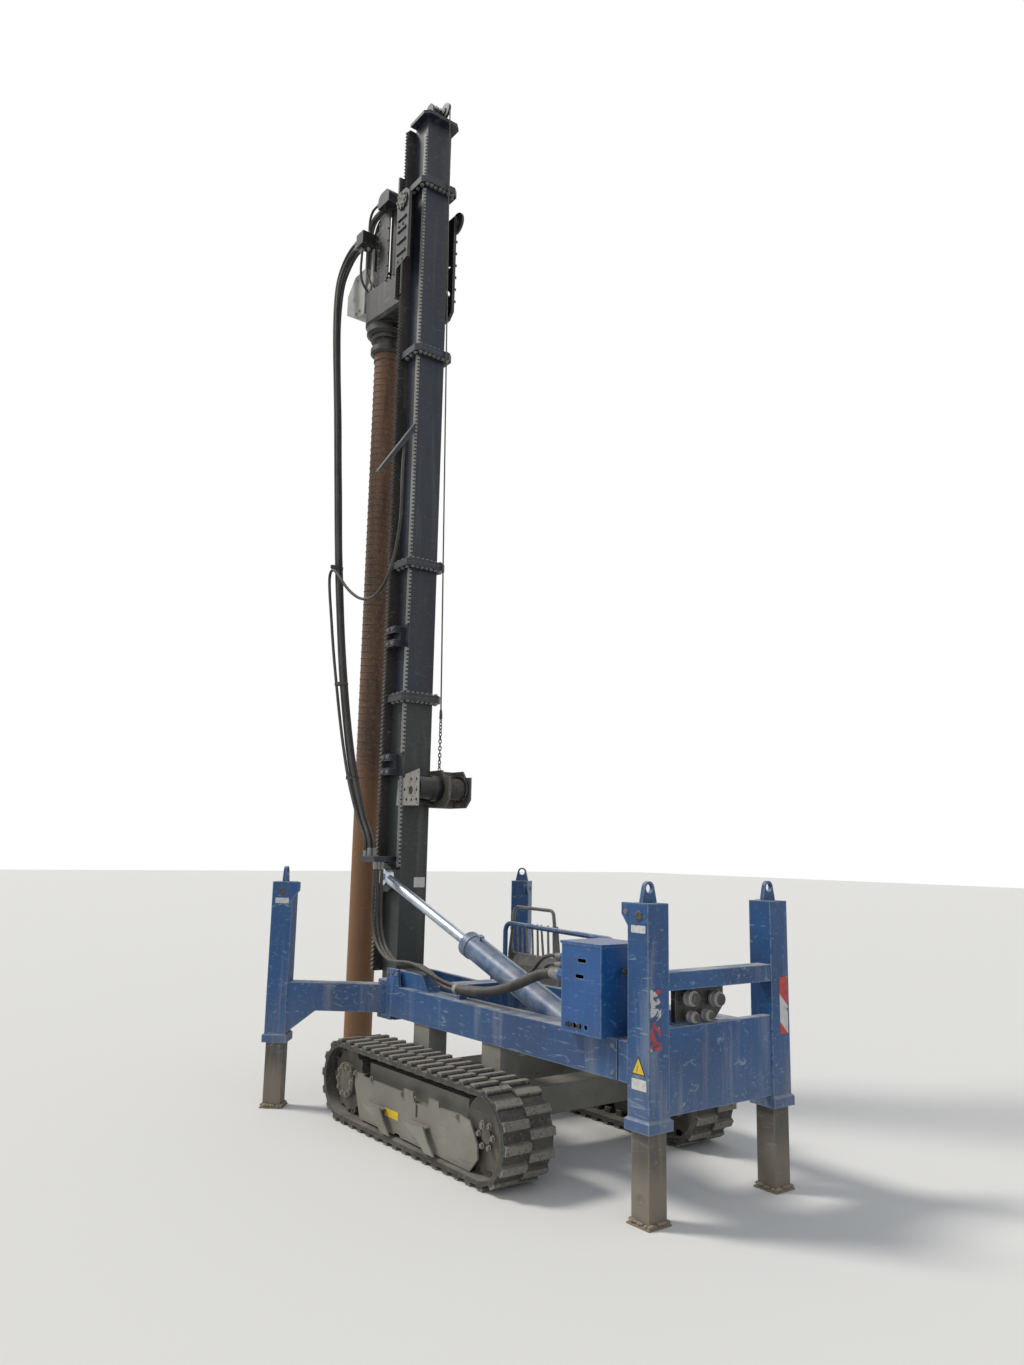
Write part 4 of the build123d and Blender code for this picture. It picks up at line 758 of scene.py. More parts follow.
def boltGrower():
    grower = Grower("hexBolts", {"Head Radius": "Float", "Head Height": "Float", "Washer Radius": "Float",
                                 "Washer Height": "Float", "Finish": "Material"})
    given = grower.given
    join = grower.node("GeometryNodeJoinGeometry", {})
    for part, corners, base in (("Head", 6, given["Washer Height"]), ("Washer", 12, 0.0)):
        high = given[part + " Height"]
        disc = grower.node("GeometryNodeMeshCylinder", {
            "Vertices": corners, "Radius": given[part + " Radius"], "Depth": high})
        rise = grower.node("ShaderNodeMath", {0: high, 1: 0.5, 2: base}, operation="MULTIPLY_ADD")
        lift = grower.node("ShaderNodeCombineXYZ", {"Z": rise.outputs[0]})
        grower.tree.links.new(grower.moved(disc.outputs["Mesh"], lift.outputs[0]), join.inputs[0])
    grower.copies(join.outputs[0])
    return grower


# a block on each point, for rack teeth and track horns
def toothGrower():
    grower = Grower("toothRow", {"Size": "Vector", "Finish": "Material"})
    block = grower.node("GeometryNodeMeshCube", {"Size": grower.given["Size"]})
    grower.copies(block.outputs["Mesh"])
    return grower


def chainGrower():
    grower = Grower("chainLinks", {"Link Radius": "Float", "Wire Radius": "Float", "Finish": "Material"})
    ring = grower.circle(10, grower.given["Link Radius"])
    tall = grower.moved(ring, (0, 0, 0), (math.pi / 2, 0, 0), (1, 1.7, 1))
    wire = grower.circle(6, grower.given["Wire Radius"])
    link = grower.node("GeometryNodeCurveToMesh", {"Curve": tall, "Profile Curve": wire})
    grower.copies(link.outputs["Mesh"])
    return grower


def spiralGrower():
    grower = Grower("woundWire", {"Turns": "Float", "Height": "Float", "Radius": "Float",
                                  "Wire Radius": "Float", "Finish": "Material"})
    given = grower.given
    spiral = grower.node("GeometryNodeCurveSpiral", {
        "Resolution": 24, "Rotations": given["Turns"], "Height": given["Height"],
        "Start Radius": given["Radius"], "End Radius": given["Radius"]})
    wound = grower.node("GeometryNodeCurveToMesh", {
        "Curve": spiral.outputs["Curve"], "Profile Curve": grower.circle(5, given["Wire Radius"]),
        "Fill Caps": True})
    grower.close(wound.outputs["Mesh"])
    return grower


growers = {"bolt": boltGrower(), "tooth": toothGrower(), "chain": chainGrower(), "spiral": spiralGrower()}


# points that carry a facing and a roll
def seedPoints(name, rows):
    mesh = bpy.data.meshes.new(name + "Points")
    mesh.from_pydata([row[0] for row in rows], [], [])
    facing = mesh.attributes.new("facing", "FLOAT_VECTOR", "POINT")
    facing.data.foreach_set("vector", [c for row in rows for c in row[1]])
    roll = mesh.attributes.new("roll", "FLOAT", "POINT")
    roll.data.foreach_set("value", [row[2] if len(row) > 2 else 0.0 for row in rows])
    return mesh


# rows are the points of a piece that repeats; a spiral has none and is moved to its place
def grown(kind, name, body, rows, values, place=None):
    mesh = growers[kind].grow(name, seedPoints(name, rows), values)
    if place is not None:
        mesh.transform(place)
    mount(name, mesh, body)


def bolts(name, body, size, rows, head=0.85, washer=0.2):
    grown("bolt", name, body, rows, {
        "Head Radius": size / 1000, "Head Height": size * head / 1000, "Washer Radius": size * 0.00135,
        "Washer Height": size * washer / 1000, "Finish": "boltSteel"})


print("cords and growers are ready")

up, down = (0, 0, 1), (0, 0, -1)
left, right, rear, front = (0, 1, 0), (0, -1, 0), (-1, 0, 0), (1, 0, 0)
bothSides = {"Left": 1, "Right": -1}
armTurn = math.radians(50)          # how far the front arms stand open
armLeft = Vector((2992, 1027, 0))   # middle of the front-left post
faceOut = Vector((-math.sin(armTurn), math.cos(armTurn), 0))
armOut = Vector((math.cos(armTurn), math.sin(armTurn), 0))

# bolted joints of the mast
mastJoints = {"heights": (2847, 3914, 5717, 7233), "flange": 28, "bolt": 14, "rearX": 2968,
              "rearY": (-126, -84, -42, 0, 42, 84, 126), "sideY": 150, "sideX": (3012, 3078, 3144)}


def mastBolts():
    spots = [(mastJoints["rearX"], y) for y in mastJoints["rearY"]]
    spots += [(x, side * mastJoints["sideY"]) for x in mastJoints["sideX"] for side in (-1, 1)]
    rows = []
    for height in mastJoints["heights"]:
        for n, (x, y) in enumerate(spots):
            rows.append((at(x, y, height + mastJoints["flange"]), up, 0.31 * n))
            rows.append((at(x, y, height - mastJoints["flange"]), down, 0.17 * n))
    bolts("mastJointBolts", "mast", mastJoints["bolt"], rows)


# toothed side rack on the left face, at its rear edge
sideRack = {
    "backX": 3012, "frontX": 3034, "face": 117.5, "proud": 16, "pitch": 31.4, "tooth": (0.020, 0.016, 0.017),
    "toothX": 3005,
    "runs": ((1560, 2240), (2420, 2800), (2890, 3240), (3420, 3870), (3960, 5670), (5765, 7185),
             (7280, 7700)),
}


def makeSideRack():
    shape = Shaper()
    face, pitch = sideRack["face"], sideRack["pitch"]
    rows = []
    for low, high in sideRack["runs"]:
        shape.block(sideRack["backX"], sideRack["frontX"], face - 1, face + sideRack["proud"], low, high)
        for n in range(int((high - low) / pitch)):
            rows.append((at(sideRack["toothX"], face + sideRack["proud"] / 2, low + pitch * (n + 0.5)), up))
    shape.onBody("sideRackBar", "mast", "rackSteel", "rack_steel", 1.0)
    grown("tooth", "sideRackTeeth", "mast", rows,
          {"Size": sideRack["tooth"], "Finish": "rackSteel"})


# last teeth of the front racks, up to the cap
rackHead = {"low": 7676.9, "plateLow": 7700.3, "high": 7824, "teeth": 4, "halfPitch": 15.7,
            "plate": 165, "root": 188, "tip": 210, "slope": (8, 12), "backX": 3200.5, "frontX": 3225}


def makeRackHead():
    shape = Shaper()
    low, high, step = rackHead["low"], rackHead["high"], rackHead["halfPitch"]
    plate, root, back = rackHead["plate"], rackHead["root"], rackHead["backX"]
    across, drop = rackHead["slope"]
    for side in (-1, 1):
        outline = [(plate, low), (root, low)]
        for n in range(0, 2 * rackHead["teeth"], 2):
            outline += [(rackHead["tip"], low + (n + 1) * step), (root, low + (n + 2) * step)]
        outline += [(root, high - drop), (plate + across, high), (plate, high)]
        shape.slab([at(back, side * y, z) for y, z in outline], ((rackHead["frontX"] - back) / 1000, 0, 0))
    shape.block(back, rackHead["frontX"], -plate, plate, rackHead["plateLow"], high)
    shape.onBody("rackHead", "mast", "darkSteel", "rack_steel")


# light punched plate and dark gear case of the winch on the lower mast
winchPlate = {
    "corners": ((3084, 2021), (2763, 2014), (2769, 2286), (2968, 2252), (2972, 2228), (3073, 2210)),
    "holes": ((2800, 2060, 12), (2870, 2058, 12), (2940, 2062, 12), (3010, 2066, 14), (2800, 2130, 12),
              (2880, 2130, 30), (2968, 2138, 12), (3040, 2140, 12), (2804, 2210, 12), (2880, 2212, 12)),
    "y": 117.6, "thick": 5.0, "axle": (2862, 2150), "boltCircle": 60, "bolt": 8,
    "cornerBolts": ((3050, 2180), (3050, 2048), (2785, 2034), (2787, 2262)),
    "case": ((0, 92), (10, 98), (70, 98), (76, 84), (196, 84), (204, 70), (220, 70)),
    "braces": ((2905, 3002, -100, 112, 2032, 2060), (2905, 3002, -100, 112, 2236, 2262),
               (2975, 2999.5, -80, 100, 2040, 2250)),
}


# a flat outline with round holes, pushed along +Y
def punchedPlate():
    thick = winchPlate["thick"] / 2000
    curve = bpy.data.curves.new("plateCut", "CURVE")
    curve.dimensions = "2D"
    curve.fill_mode = "BOTH"
    curve.extrude = thick
    for loop in [winchPlate["corners"]] + [around(*hole, evenly(16)) for hole in winchPlate["holes"]]:
        spline = curve.splines.new("POLY")
        spline.points.add(len(loop) - 1)
        for point, place in zip(spline.points, loop):
            point.co = (place[0] / 1000, place[1] / 1000, 0.0, 1.0)
        spline.use_cyclic_u = True
    cut = bpy.data.objects.new("plateCut", curve)
    mesh = bpy.data.meshes.new_from_object(cut)
    bpy.data.objects.remove(cut)
    middle = winchPlate["y"] / 1000 + thick
    mesh.transform(Matrix(((1, 0, 0, rearX), (0, 0, 1, middle), (0, 1, 0, 0), (0, 0, 0, 1))))
    return mesh


def makeWinchPlate():
    mesh = punchedPlate()
    mesh.name = "winchPlate"
    form = bmesh.new()
    form.from_mesh(mesh)
    bmesh.ops.remove_doubles(form, verts=form.verts[:], dist=0.00001)
    bmesh.ops.recalc_face_normals(form, faces=form.faces[:])
    form.to_mesh(mesh)
    form.free()
    mesh.materials.clear()
    mesh.materials.append(finishes["paleSteel"])
    mount("winchPlate", mesh, "mast")
    x, z = winchPlate["axle"]
    shape = Shaper()
    shape.turned(at(x, -103, z), left, winchPlate["case"], 28)
    for brace in winchPlate["braces"]:
        shape.block(*brace)
    shape.onBody("winchGearCase", "mast", "headPaint", "head_paint", 2.5)
    # flat heads, because the raked mast brings the cylinder close
    face, circle = winchPlate["y"] + winchPlate["thick"], winchPlate["boltCircle"]
    rows = [(at(px, face, pz), left, a) for px, pz, a in around(x, z, circle, evenly(8))]
    rows += [(at(px, face, pz), left) for px, pz in winchPlate["cornerBolts"]]
    bolts("winchPlateBolts", "mast", winchPlate["bolt"], rows, head=0.2, washer=0.1)


# rope at the mast's rear, with the end piece that carries the chain; drops along the rope are in metres
hoistRope = {"low": at(2924, -150, 2760), "top": at(2924, -45, 7975), "radius": 6,
             "socket": ((0, 8), (8, 13), (62, 11), (80, 7)), "socketDrop": 0.070, "chainDrop": 0.078}
hoistRope["along"] = (hoistRope["top"] - hoistRope["low"]).normalized()


def makeHoistRope():
    low, along, radius = hoistRope["low"], hoistRope["along"], hoistRope["radius"]
    length = (hoistRope["top"] - low).length * 1000
    shape = Shaper()
    shape.turned(low, along, ((0, radius), (length, radius)), 10)
    shape.turned(low - along * hoistRope["socketDrop"], along, hoistRope["socket"], 12)
    shape.onBody("hoistRope", "mast", "ropeSteel", "rack_steel")


# sheave that the rope runs over: its groove is (distance, what it adds to the radius), its cheeks x and z
crownSheave = {"middle": (2991, -45, 7985), "radius": 66, "hub": ((0, 16), (4, 19), (44, 19), (48, 16)),
               "groove": ((0, -22), (2, 2), (6, 2), (11, -9), (15, -9), (20, 2), (24, 2), (26, -22)),
               "cheeks": (-22, 16), "cheekThick": 0.006,
               "cheek": ((-22, -22), (40, -40), (60, -36), (60, 24), (-8, 26), (-24, 10))}


def makeCrownSheave():
    x, y, z = crownSheave["middle"]
    groove = [(out, crownSheave["radius"] + rise) for out, rise in crownSheave["groove"]]
    wheel = Shaper()
    wheel.turned(at(x, y - 13, z), left, groove, 36)
    wheel.turned(at(x, y - 24, z), left, crownSheave["hub"])
    for side in crownSheave["cheeks"]:
        wheel.slab([at(x + px, y + side, z + pz) for px, pz in crownSheave["cheek"]],
                   (0, crownSheave["cheekThick"], 0))
    wheel.onBody("crownSheave", "mast", "headPaint", "head_paint", 1.5)


# chain and hook under the rope, metres, but for the hook's wire and neck
hoistChain = {"links": 15, "pitch": 0.027, "ring": 0.0105, "wire": 0.0042, "twist": 0.12}
hoistHook = {"radius": 0.030, "drop": 0.052, "wire": 7, "neck": ((0, 9), (4, 12), (14, 12), (18, 9))}


def makeHoistChain():
    start = hoistRope["low"] - hoistRope["along"] * hoistRope["chainDrop"]
    pitch, links = hoistChain["pitch"], hoistChain["links"]
    rows = [(start - Vector((0, 0, pitch * n)), up, n % 2 * math.pi / 2 + hoistChain["twist"] * n)
            for n in range(links)]
    grown("chain", "hoistChain", "mast", rows,
          {"Link Radius": hoistChain["ring"], "Wire Radius": hoistChain["wire"], "Finish": "ropeSteel"})
    end = start - Vector((0, 0, pitch * links + 0.006))
    line = [end + Vector((0, 0, 0.010)), end - Vector((0, 0, 0.006))]
    turns = [math.radians(90 + 16 * n) for n in range(17)]
    for y, z, a in around(0, -hoistHook["drop"], hoistHook["radius"], turns):
        line.append(end + Vector((0, y, z)))
    hook = Shaper()
    hook.tube(line, hoistHook["wire"], 10)
    hook.turned(end + Vector((0, 0, 0.012)), down, hoistHook["neck"], 12)
    hook.onBody("hoistHook", "mast", "ropeSteel", "rack_steel")


# wound wire in metres, from a place on the machine: the rope on the drum, and the tube's raised seam
drumRope = {"start": (2825, -275, 2150), "turns": 13.5, "height": 0.143, "radius": 0.0755, "wire": 0.0052}
tubeSeam = {"start": (3750, 0, 2230), "height": 3.675, "pitch": 0.058, "radius": 0.1095, "wire": 0.0055}


def makeDrumRope():
    place = Matrix.Translation(at(*drumRope["start"])) @ Matrix.Rotation(math.radians(-90), 4, "X")
    grown("spiral", "drumRope", "winch_drum", [],
          {"Turns": drumRope["turns"], "Height": drumRope["height"], "Radius": drumRope["radius"],
           "Wire Radius": drumRope["wire"], "Finish": "ropeSteel"}, place)


def makeTubeSeam():
    grown("spiral", "tubeSeam", "spindle", [],
          {"Turns": tubeSeam["height"] / tubeSeam["pitch"], "Height": tubeSeam["height"],
           "Radius": tubeSeam["radius"], "Wire Radius": tubeSeam["wire"], "Finish": "rust"},
          Matrix.Translation(at(*tubeSeam["start"])))


# horns inside the belts
trackHorns = {"size": (0.046, 0.030, 0.034), "along": range(880, 2421, 105), "rows": (620, 770),
              "heights": (66, 434)}


def makeTrackHorns():
    rows = [(at(x, side * y, height), up) for side in (-1, 1) for y in trackHorns["rows"]
            for height in trackHorns["heights"] for x in trackHorns["along"]]
    grown("tooth", "trackHorns", "chassis", rows,
          {"Size": trackHorns["size"], "Finish": "rubber"})


# blank plates and stickers: finish, body, lower corner, width and height, and the way they face
plates = {
    "postLabel": ("labelWhite", "chassis", (17, 525, 1320), (98, 36), left),
    "postNotice": ("labelWhite", "chassis", (14, 525, 600), (98, 50), left),
    "mastNotice": ("labelWhite", "mast", (3000, -102, 1414), (96, 74), rear),
    "trackPlate": ("labelYellow", "chassis", (1740, 821, 146), (150, 44), left),
    "hazardLeft": ("hazardWorn", "chassis", (0, 440, 783), (72, 280), rear),
    "hazardRight": ("hazardStripes", "chassis", (0, -512, 776), (64, 290), rear),
}
plateForm = {"corner": 5, "sunk": 0.0004, "thick": 0.0016}
# a blank triangular sticker: a border and a field, each with how far it grows and how thick it is
triangle = {"x": (28, 66, 104), "y": 524.6, "z": (674, 744), "layers": {
    "noticeBorder": ("labelBlack", 8, 0.0016), "noticeField": ("labelYellow", 0, 0.0022)}}


def makePlates():
    bend = plateForm["corner"]
    for name, (finish, body, spot, (wide, high), facing) in plates.items():
        out = Vector(facing)
        across = Vector(front if facing == left else left)
        corner = at(*spot) - out * plateForm["sunk"]
        outline = []
        for x, z, start in ((wide - bend, high - bend, 0), (bend, high - bend, 90), (bend, bend, 180),
                            (wide - bend, bend, 270)):
            turns = [math.radians(start + turn) for turn in (0, 30, 60, 90)]
            for px, pz, a in around(x, z, bend, turns):
                outline.append(corner + (across * px + Vector(up) * pz) / 1000)
        shape = Shaper()
        shape.slab(outline, out * plateForm["thick"])
        shape.onBody(name, body, finish, "cover_paint")
    near, middle, far = triangle["x"]
    low, top = triangle["z"]
    y = triangle["y"]
    for name, (finish, grow, thick) in triangle["layers"].items():
        shape = Shaper()
        shape.slab([at(near - grow, y, low - grow * 0.6), at(far + grow, y, low - grow * 0.6),
                    at(middle, y, top + grow * 1.2)], (0, thick, 0))
        shape.onBody(name, "chassis", finish, "cover_paint")


# plugs and ear bolts on the jack posts
postPlug = {"rings": ((0, 24), (3, 24), (5, 20), (5, 13), (1.5, 12), (1.5, 4)), "rear": (63, 524.5, 1400),
            "armFace": 69.5, "ear": (150, 525, 1418), "earBolt": 10}


def makePostPlugs():
    shape = Shaper()
    x, y, z = postPlug["rear"]
    for side in (1, -1):
        shape.turned(at(x, side * y, z), (0, side, 0), postPlug["rings"], 20)
    shape.onBody("postPlugs", "chassis", "darkSteel", "rack_steel")
    face = armLeft + faceOut * postPlug["armFace"]
    for name, side in bothSides.items():
        shape = Shaper()
        shape.turned(at(face.x, side * face.y, z), (faceOut.x, side * faceOut.y, 0), postPlug["rings"], 20)
        shape.onBody("frontPostPlug" + name, "arm_" + name.lower(), "darkSteel", "rack_steel")


def makeEarBolts():
    x, y, z = postPlug["ear"]
    rows = [(at(x, side * y, z), (0, side, 0)) for side in (-1, 1)]
    bolts("earBolts", "chassis", postPlug["earBolt"], rows)


# rings on the rear legs, flat enough for the collar above them
legRing = {"place": (71, 512.2, 117), "rings": ((0, 24), (1.25, 24), (1.25, 18), (1.0, 17.5), (1.0, 4))}


def makeLegRings():
    x, y, z = legRing["place"]
    for name, side in bothSides.items():
        shape = Shaper()
        shape.turned(at(x, side * y, z), (0, side, 0), legRing["rings"], 20)
        shape.onBody("legRing" + name, "leg_rear_" + name.lower(), "darkSteel", "leg_steel")


# blank label on the front-left post
postLabel = {"face": 69.7, "wide": 92, "high": 36, "low": 1318, "thick": 0.0018}


def makePostLabel():
    wide, low, high = postLabel["wide"], postLabel["low"], postLabel["low"] + postLabel["high"]
    base = armLeft + faceOut * postLabel["face"] - armOut * wide / 2
    corners = ((0, low), (wide, low), (wide, high), (0, high))
    shape = Shaper()
    shape.slab([at(*(base + armOut * x + Vector(up) * z)) for x, z in corners], faceOut * postLabel["thick"])
    shape.onBody("frontPostLabel", "arm_left", "labelWhite", "cover_paint")


# bolts of the tracks, the frame and the clamps: spots are x and z, rings are x, z, radius and count
frameBolts = {
    "trackSpots": ((900, 300), (1130, 300), (1560, 300), (1700, 300), (2060, 316), (2260, 316)),
    "trackY": 821, "idler": (2400, 250, 84, 10), "sprocketY": 799, "sprocket": (900, 250, 62, 6),
    "frameY": 525, "frameSpots": ((2308, 888), (2368, 888), (2412, 888), (243, 775), (243, 650)),
    "clampY": 201.5, "clampX": (3104, 3176), "clampZ": (2274, 2386, 3274, 3386),
    "track": 13, "frame": 9, "clamp": 11,
}


def makeFrameBolts():
    trackRows, frameRows = [], []
    for side in (-1, 1):
        out = (0, side, 0)
        trackRows += [(at(x, side * frameBolts["trackY"], z), out) for x, z in frameBolts["trackSpots"]]
        for ring, y in (("idler", frameBolts["trackY"]), ("sprocket", frameBolts["sprocketY"])):
            x, z, radius, count = frameBolts[ring]
            trackRows += [(at(px, side * y, pz), out, a) for px, pz, a in around(x, z, radius, evenly(count))]
        frameRows += [(at(x, side * frameBolts["frameY"], z), out) for x, z in frameBolts["frameSpots"]]
    bolts("trackBolts", "chassis", frameBolts["track"], trackRows)
    bolts("frameBolts", "chassis", frameBolts["frame"], frameRows)
    y = frameBolts["clampY"]
    rows = [(at(x, y, z), left) for z in frameBolts["clampZ"] for x in frameBolts["clampX"]]
    bolts("clampBolts", "mast", frameBolts["clamp"], rows)


# round end of the feed drive, on the carriage's left cheek
feedDrive = {"x": 3162, "z": 7095, "boltCircle": 62, "boltY": 254.2,
             "rows": ((0, 74), (3, 78), (13, 78), (14, 48), (21, 45), (21, 20), (19, 18))}


# bolts of the head and the carriage: two columns and a side plate, the gearbox's top with its edge, its
# flange and its motor (x, y, radius), and both cheeks
headBolts = {
    "size": 9, "columnY": 142, "columns": ((3730, range(6630, 7260, 84)), (3580, range(6630, 7230, 120))),
    "plateY": 170, "plateX": (3990, 4060), "plateZ": (6490, 6820),
    "top": 6550, "edge": [(3265 + 60 * n, 166 + 5.3 * n) for n in range(5)],
    "flange": (3750, 0, 168), "flangeTo": 3890, "motor": (3549, 25, 102),
    "cheekSize": 11, "cheekY": 241, "cheekX": (3150, 3215),
    "rightZ": (6200, 6650, 7050), "leftZ": (6560, 6882),
}


def makeHeadBolts():
    y, top = headBolts["columnY"], headBolts["top"]
    rows = [(at(x, y, z), left) for x, heights in headBolts["columns"] for z in heights]
    rows += [(at(x, y, top), up) for x, y in headBolts["edge"]]
    turns = [math.radians(25 * n + 32) for n in range(-6, 9)]
    flange = around(*headBolts["flange"], turns)
    rows += [(at(x, y, top), up, a) for x, y, a in flange if x < headBolts["flangeTo"]]
    rows += [(at(x, headBolts["plateY"], z), left) for x in headBolts["plateX"] for z in headBolts["plateZ"]]
    rows += [(at(x, y, top), up, a) for x, y, a in around(*headBolts["motor"], evenly(8, 0.3))]
    bolts("headBolts", "carriage", headBolts["size"], rows)
    y = headBolts["cheekY"]
    rows = [(at(x, -y, z), right) for x in headBolts["cheekX"] for z in headBolts["rightZ"]]
    rows += [(at(x, y, z), left) for x in headBolts["cheekX"] for z in headBolts["leftZ"]]
    drive = around(feedDrive["x"], feedDrive["z"], feedDrive["boltCircle"], evenly(8))
    rows += [(at(x, feedDrive["boltY"], z), left, a) for x, z, a in drive]
    bolts("carriageBolts", "carriage", headBolts["cheekSize"], rows)


# ribs of the carriage: slanted ones down its right cheek, level ones on its left
carriageRibs = {"face": 240.5, "slanted": range(6300, 6861, 112), "slantedX": (3068, 3210), "rise": 70,
                "thick": 24, "proud": 0.020, "level": (6620, 6725, 6830, 6935), "levelX": (3094, 3228),
                "levelOut": 253, "levelHalf": 9}


def makeCarriageRibs():
    shape = Shaper()
    face, thick = carriageRibs["face"], carriageRibs["thick"]
    near, far = carriageRibs["slantedX"]
    for z in carriageRibs["slanted"]:
        top = z + carriageRibs["rise"]
        outline = ((near, z), (far, top), (far, top + thick), (near, z + thick))
        shape.slab([at(x, -face, height) for x, height in outline], (0, -carriageRibs["proud"], 0))
    for z in carriageRibs["level"]:
        half = carriageRibs["levelHalf"]
        shape.block(*carriageRibs["levelX"], face, carriageRibs["levelOut"], z - half, z + half)
    shape.turned(at(feedDrive["x"], face, feedDrive["z"]), left, feedDrive["rows"], 32)
    shape.onBody("carriageRibs", "carriage", "headPaint", "head_paint", 2.0)


# pale leg and disc under the manifold
manifoldLeg = {"y": 146, "thick": 0.012, "disc": ((0, 30), (4, 34), (14, 34), (18, 28)),
               "outline": ((3786, 6550), (3872, 6550), (3872, 6700), (3836, 6760), (3836, 7019.5),
                           (3800, 7019.5), (3800, 6760), (3786, 6740))}


def makeManifoldLeg():
    shape = Shaper()
    shape.slab([at(x, manifoldLeg["y"], z) for x, z in manifoldLeg["outline"]], (0, manifoldLeg["thick"], 0))
    shape.turned(at(3829, 158, 6640), left, manifoldLeg["disc"], 24)
    shape.onBody("manifoldLeg", "carriage", "coverPaint", "cover_paint", 1.5)


# hose ends: rings along the hose (distance and radius), and how many sides they have
hoseEnds = {
    "drop": (((0, 17), (3, 18.5), (24, 18.5), (27, 16.5), (52, 15.6), (58, 14.4)), 14),
    "head": (((0, 15), (3, 17), (18, 17), (21, 14), (36, 12.5), (40, 11.6)), 12),
    "port": (((0, 14), (2, 16), (16, 16), (18, 12), (24, 12)), 6),
    "eye": (((0, 20), (4, 20), (5, 16), (1.5, 13), (1.5, 3)), 20),
    "shelfDrop": (((0, 18), (20, 18), (24, 16.5), (52, 15.6), (60, 14.4)), 12),
    "shelfBar": (((0, 12.4), (16, 12.6), (40, 12.6)), 12),
    "shelfLow": (((0, 15), (18, 15), (22, 14), (44, 13.2), (52, 12.4)), 12),
    "gland": (((0, 33), (6, 34), (34, 34), (40, 31), (66, 29.6), (74, 28.6)), 20),
    "cabinet": (((0, 13), (3, 14), (26, 14), (30, 11.6), (44, 10.7)), 12),
    "beam": (((0, 15), (12, 15), (15, 12), (26, 10.8)), 12),
    "sleeve": (((-30, 28.8), (-4, 31), (0, 31), (2, 28), (1, 20)), 24),
}
# where they sit, at the head, at the mast's shelf, at the cabinet and in the beam
fittings = {
    "headFittings": ("carriage", (
        (3924.8, 205, 7055, front, "drop"), (3924.8, 205, 7105, front, "drop"),
        (3924.8, 255, 7055, front, "drop"), (3924.8, 255, 7105, front, "drop"),
        (3825, 200, 7139.7, up, "head"), (3640.7, 200, 7356, front, "head"),
        (3820, 200, 7020.3, down, "head"), (3735, 172, 6549.7, up, "head"),
        (3866, 240, 7020.3, down, "head"), (3638.7, 25, 6780, front, "head"),
        (3846, 205, 7139.7, up, "port"), (3846, 255, 7139.7, up, "port"),
        (4110, 169.6, 6650, left, "eye"))),
    "shelfFittings": ("mast", (
        (3104, 308, 1639.7, up, "shelfDrop"), (3062, 350, 1639.7, up, "shelfDrop"),
        (3104, 350, 1639.7, up, "shelfDrop"), (3062, 308, 1639.7, up, "shelfDrop"),
        (3083, 373, 1639.7, up, "shelfBar"), (2945, 304, 1600.3, down, "shelfLow"),
        (2945, 334, 1600.3, down, "shelfLow"), (2945, 364, 1600.3, down, "shelfLow"))),
    "cabinetFittings": ("chassis", (
        (603.8, 555, 1072, front, "gland"), (603.8, 555, 1164, front, "cabinet"),
        (603.8, 555, 1120, front, "cabinet"), (1900, 375.3, 632, right, "beam"),
        (1810, 375.3, 632, right, "beam"), (1722, 455, 862, front, "sleeve"))),
}


def makeFittings():
    for name, (body, rows) in fittings.items():
        shape = Shaper()
        for x, y, z, out, kind in rows:
            shape.turned(at(x, y, z), out, *hoseEnds[kind])
        shape.onBody(name, body, "fittingSteel", "rack_steel")


# bright sleeves and dark plugs on the rear couplings (y, z, radius): their rings are (distance, what is
# added to that radius)
couplings = ((206, 1000, 36), (20, 985, 36), (198, 912, 26), (92, 912, 26))
couplingSleeve = ((0, 0.6), (3, 3), (14, 3), (17, 0.8), (42, 0.8), (45, -3), (53, -4))
couplingPlug = ((-4, -6), (4, -6), (6, -9), (6.5, -16))


def makeCouplings():
    sleeves, plugs = Shaper(), Shaper()
    for y, z, radius in couplings:
        sleeves.turned(at(46, y, z), rear, [(out, radius + rise) for out, rise in couplingSleeve], 28)
        plugs.turned(at(-6, y, z), rear, [(out, radius + rise) for out, rise in couplingPlug], 24)
    sleeves.onBody("couplingSleeves", "chassis", "fittingSteel", "leg_steel", 1.0)
    plugs.onBody("couplingPlugs", "chassis", "darkSteel", "rack_steel", 0.8)


# straps around the four drop hoses and the bar hose
straps = {"heights": (4010, 3000, 2230), "thick": 3, "high": 26, "gap": 0.5, "drop": 0.0146, "bar": 0.0126,
          "sides": 16}


# the point of a hose at a height; the bar hose passes some heights twice, and its front run is wanted
def hoseAt(name, height, fromX=-math.inf):
    return min((p for p in lines[name] if p.x > fromX), key=lambda p: abs(p.z - height / 1000))


def makeStraps():
    shape = Shaper()
    low, high = -straps["high"] / 2000, straps["high"] / 2000
    outer = straps["gap"] + straps["thick"]
    for height in straps["heights"]:
        middles = [(hoseAt(name, height), straps["drop"]) for name in dropPoints]
        middles.append((hoseAt("barHose", height, middles[0][0].x - 0.05), straps["bar"]))
        spots = []
        for middle, radius in middles:
            ring = around(middle.x, middle.y, radius, evenly(straps["sides"]))
            spots += [Vector((x, y)) for x, y, a in ring]
        hull = [spots[i] for i in geometry.convex_hull_2d(spots)]
        centre = sum(hull, Vector((0, 0))) / len(hull)
        count = len(hull)
        places = []
        for grow, rise in ((straps["gap"], low), (outer, low), (outer, high), (straps["gap"], high)):
            places += [(*(p + (p - centre).normalized() * grow / 1000), height / 1000 + rise) for p in hull]
        faces = []
        for row in range(4):
            here, above = row * count, (row + 1) % 4 * count
            for i in range(count):
                j = (i + 1) % count
                faces.append((here + i, here + j, above + j, above + i))
        shape.shell(places, faces)
    made = shape.piece("hoseStraps", "hose", "hose_rubber", crease=30)
    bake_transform(made)


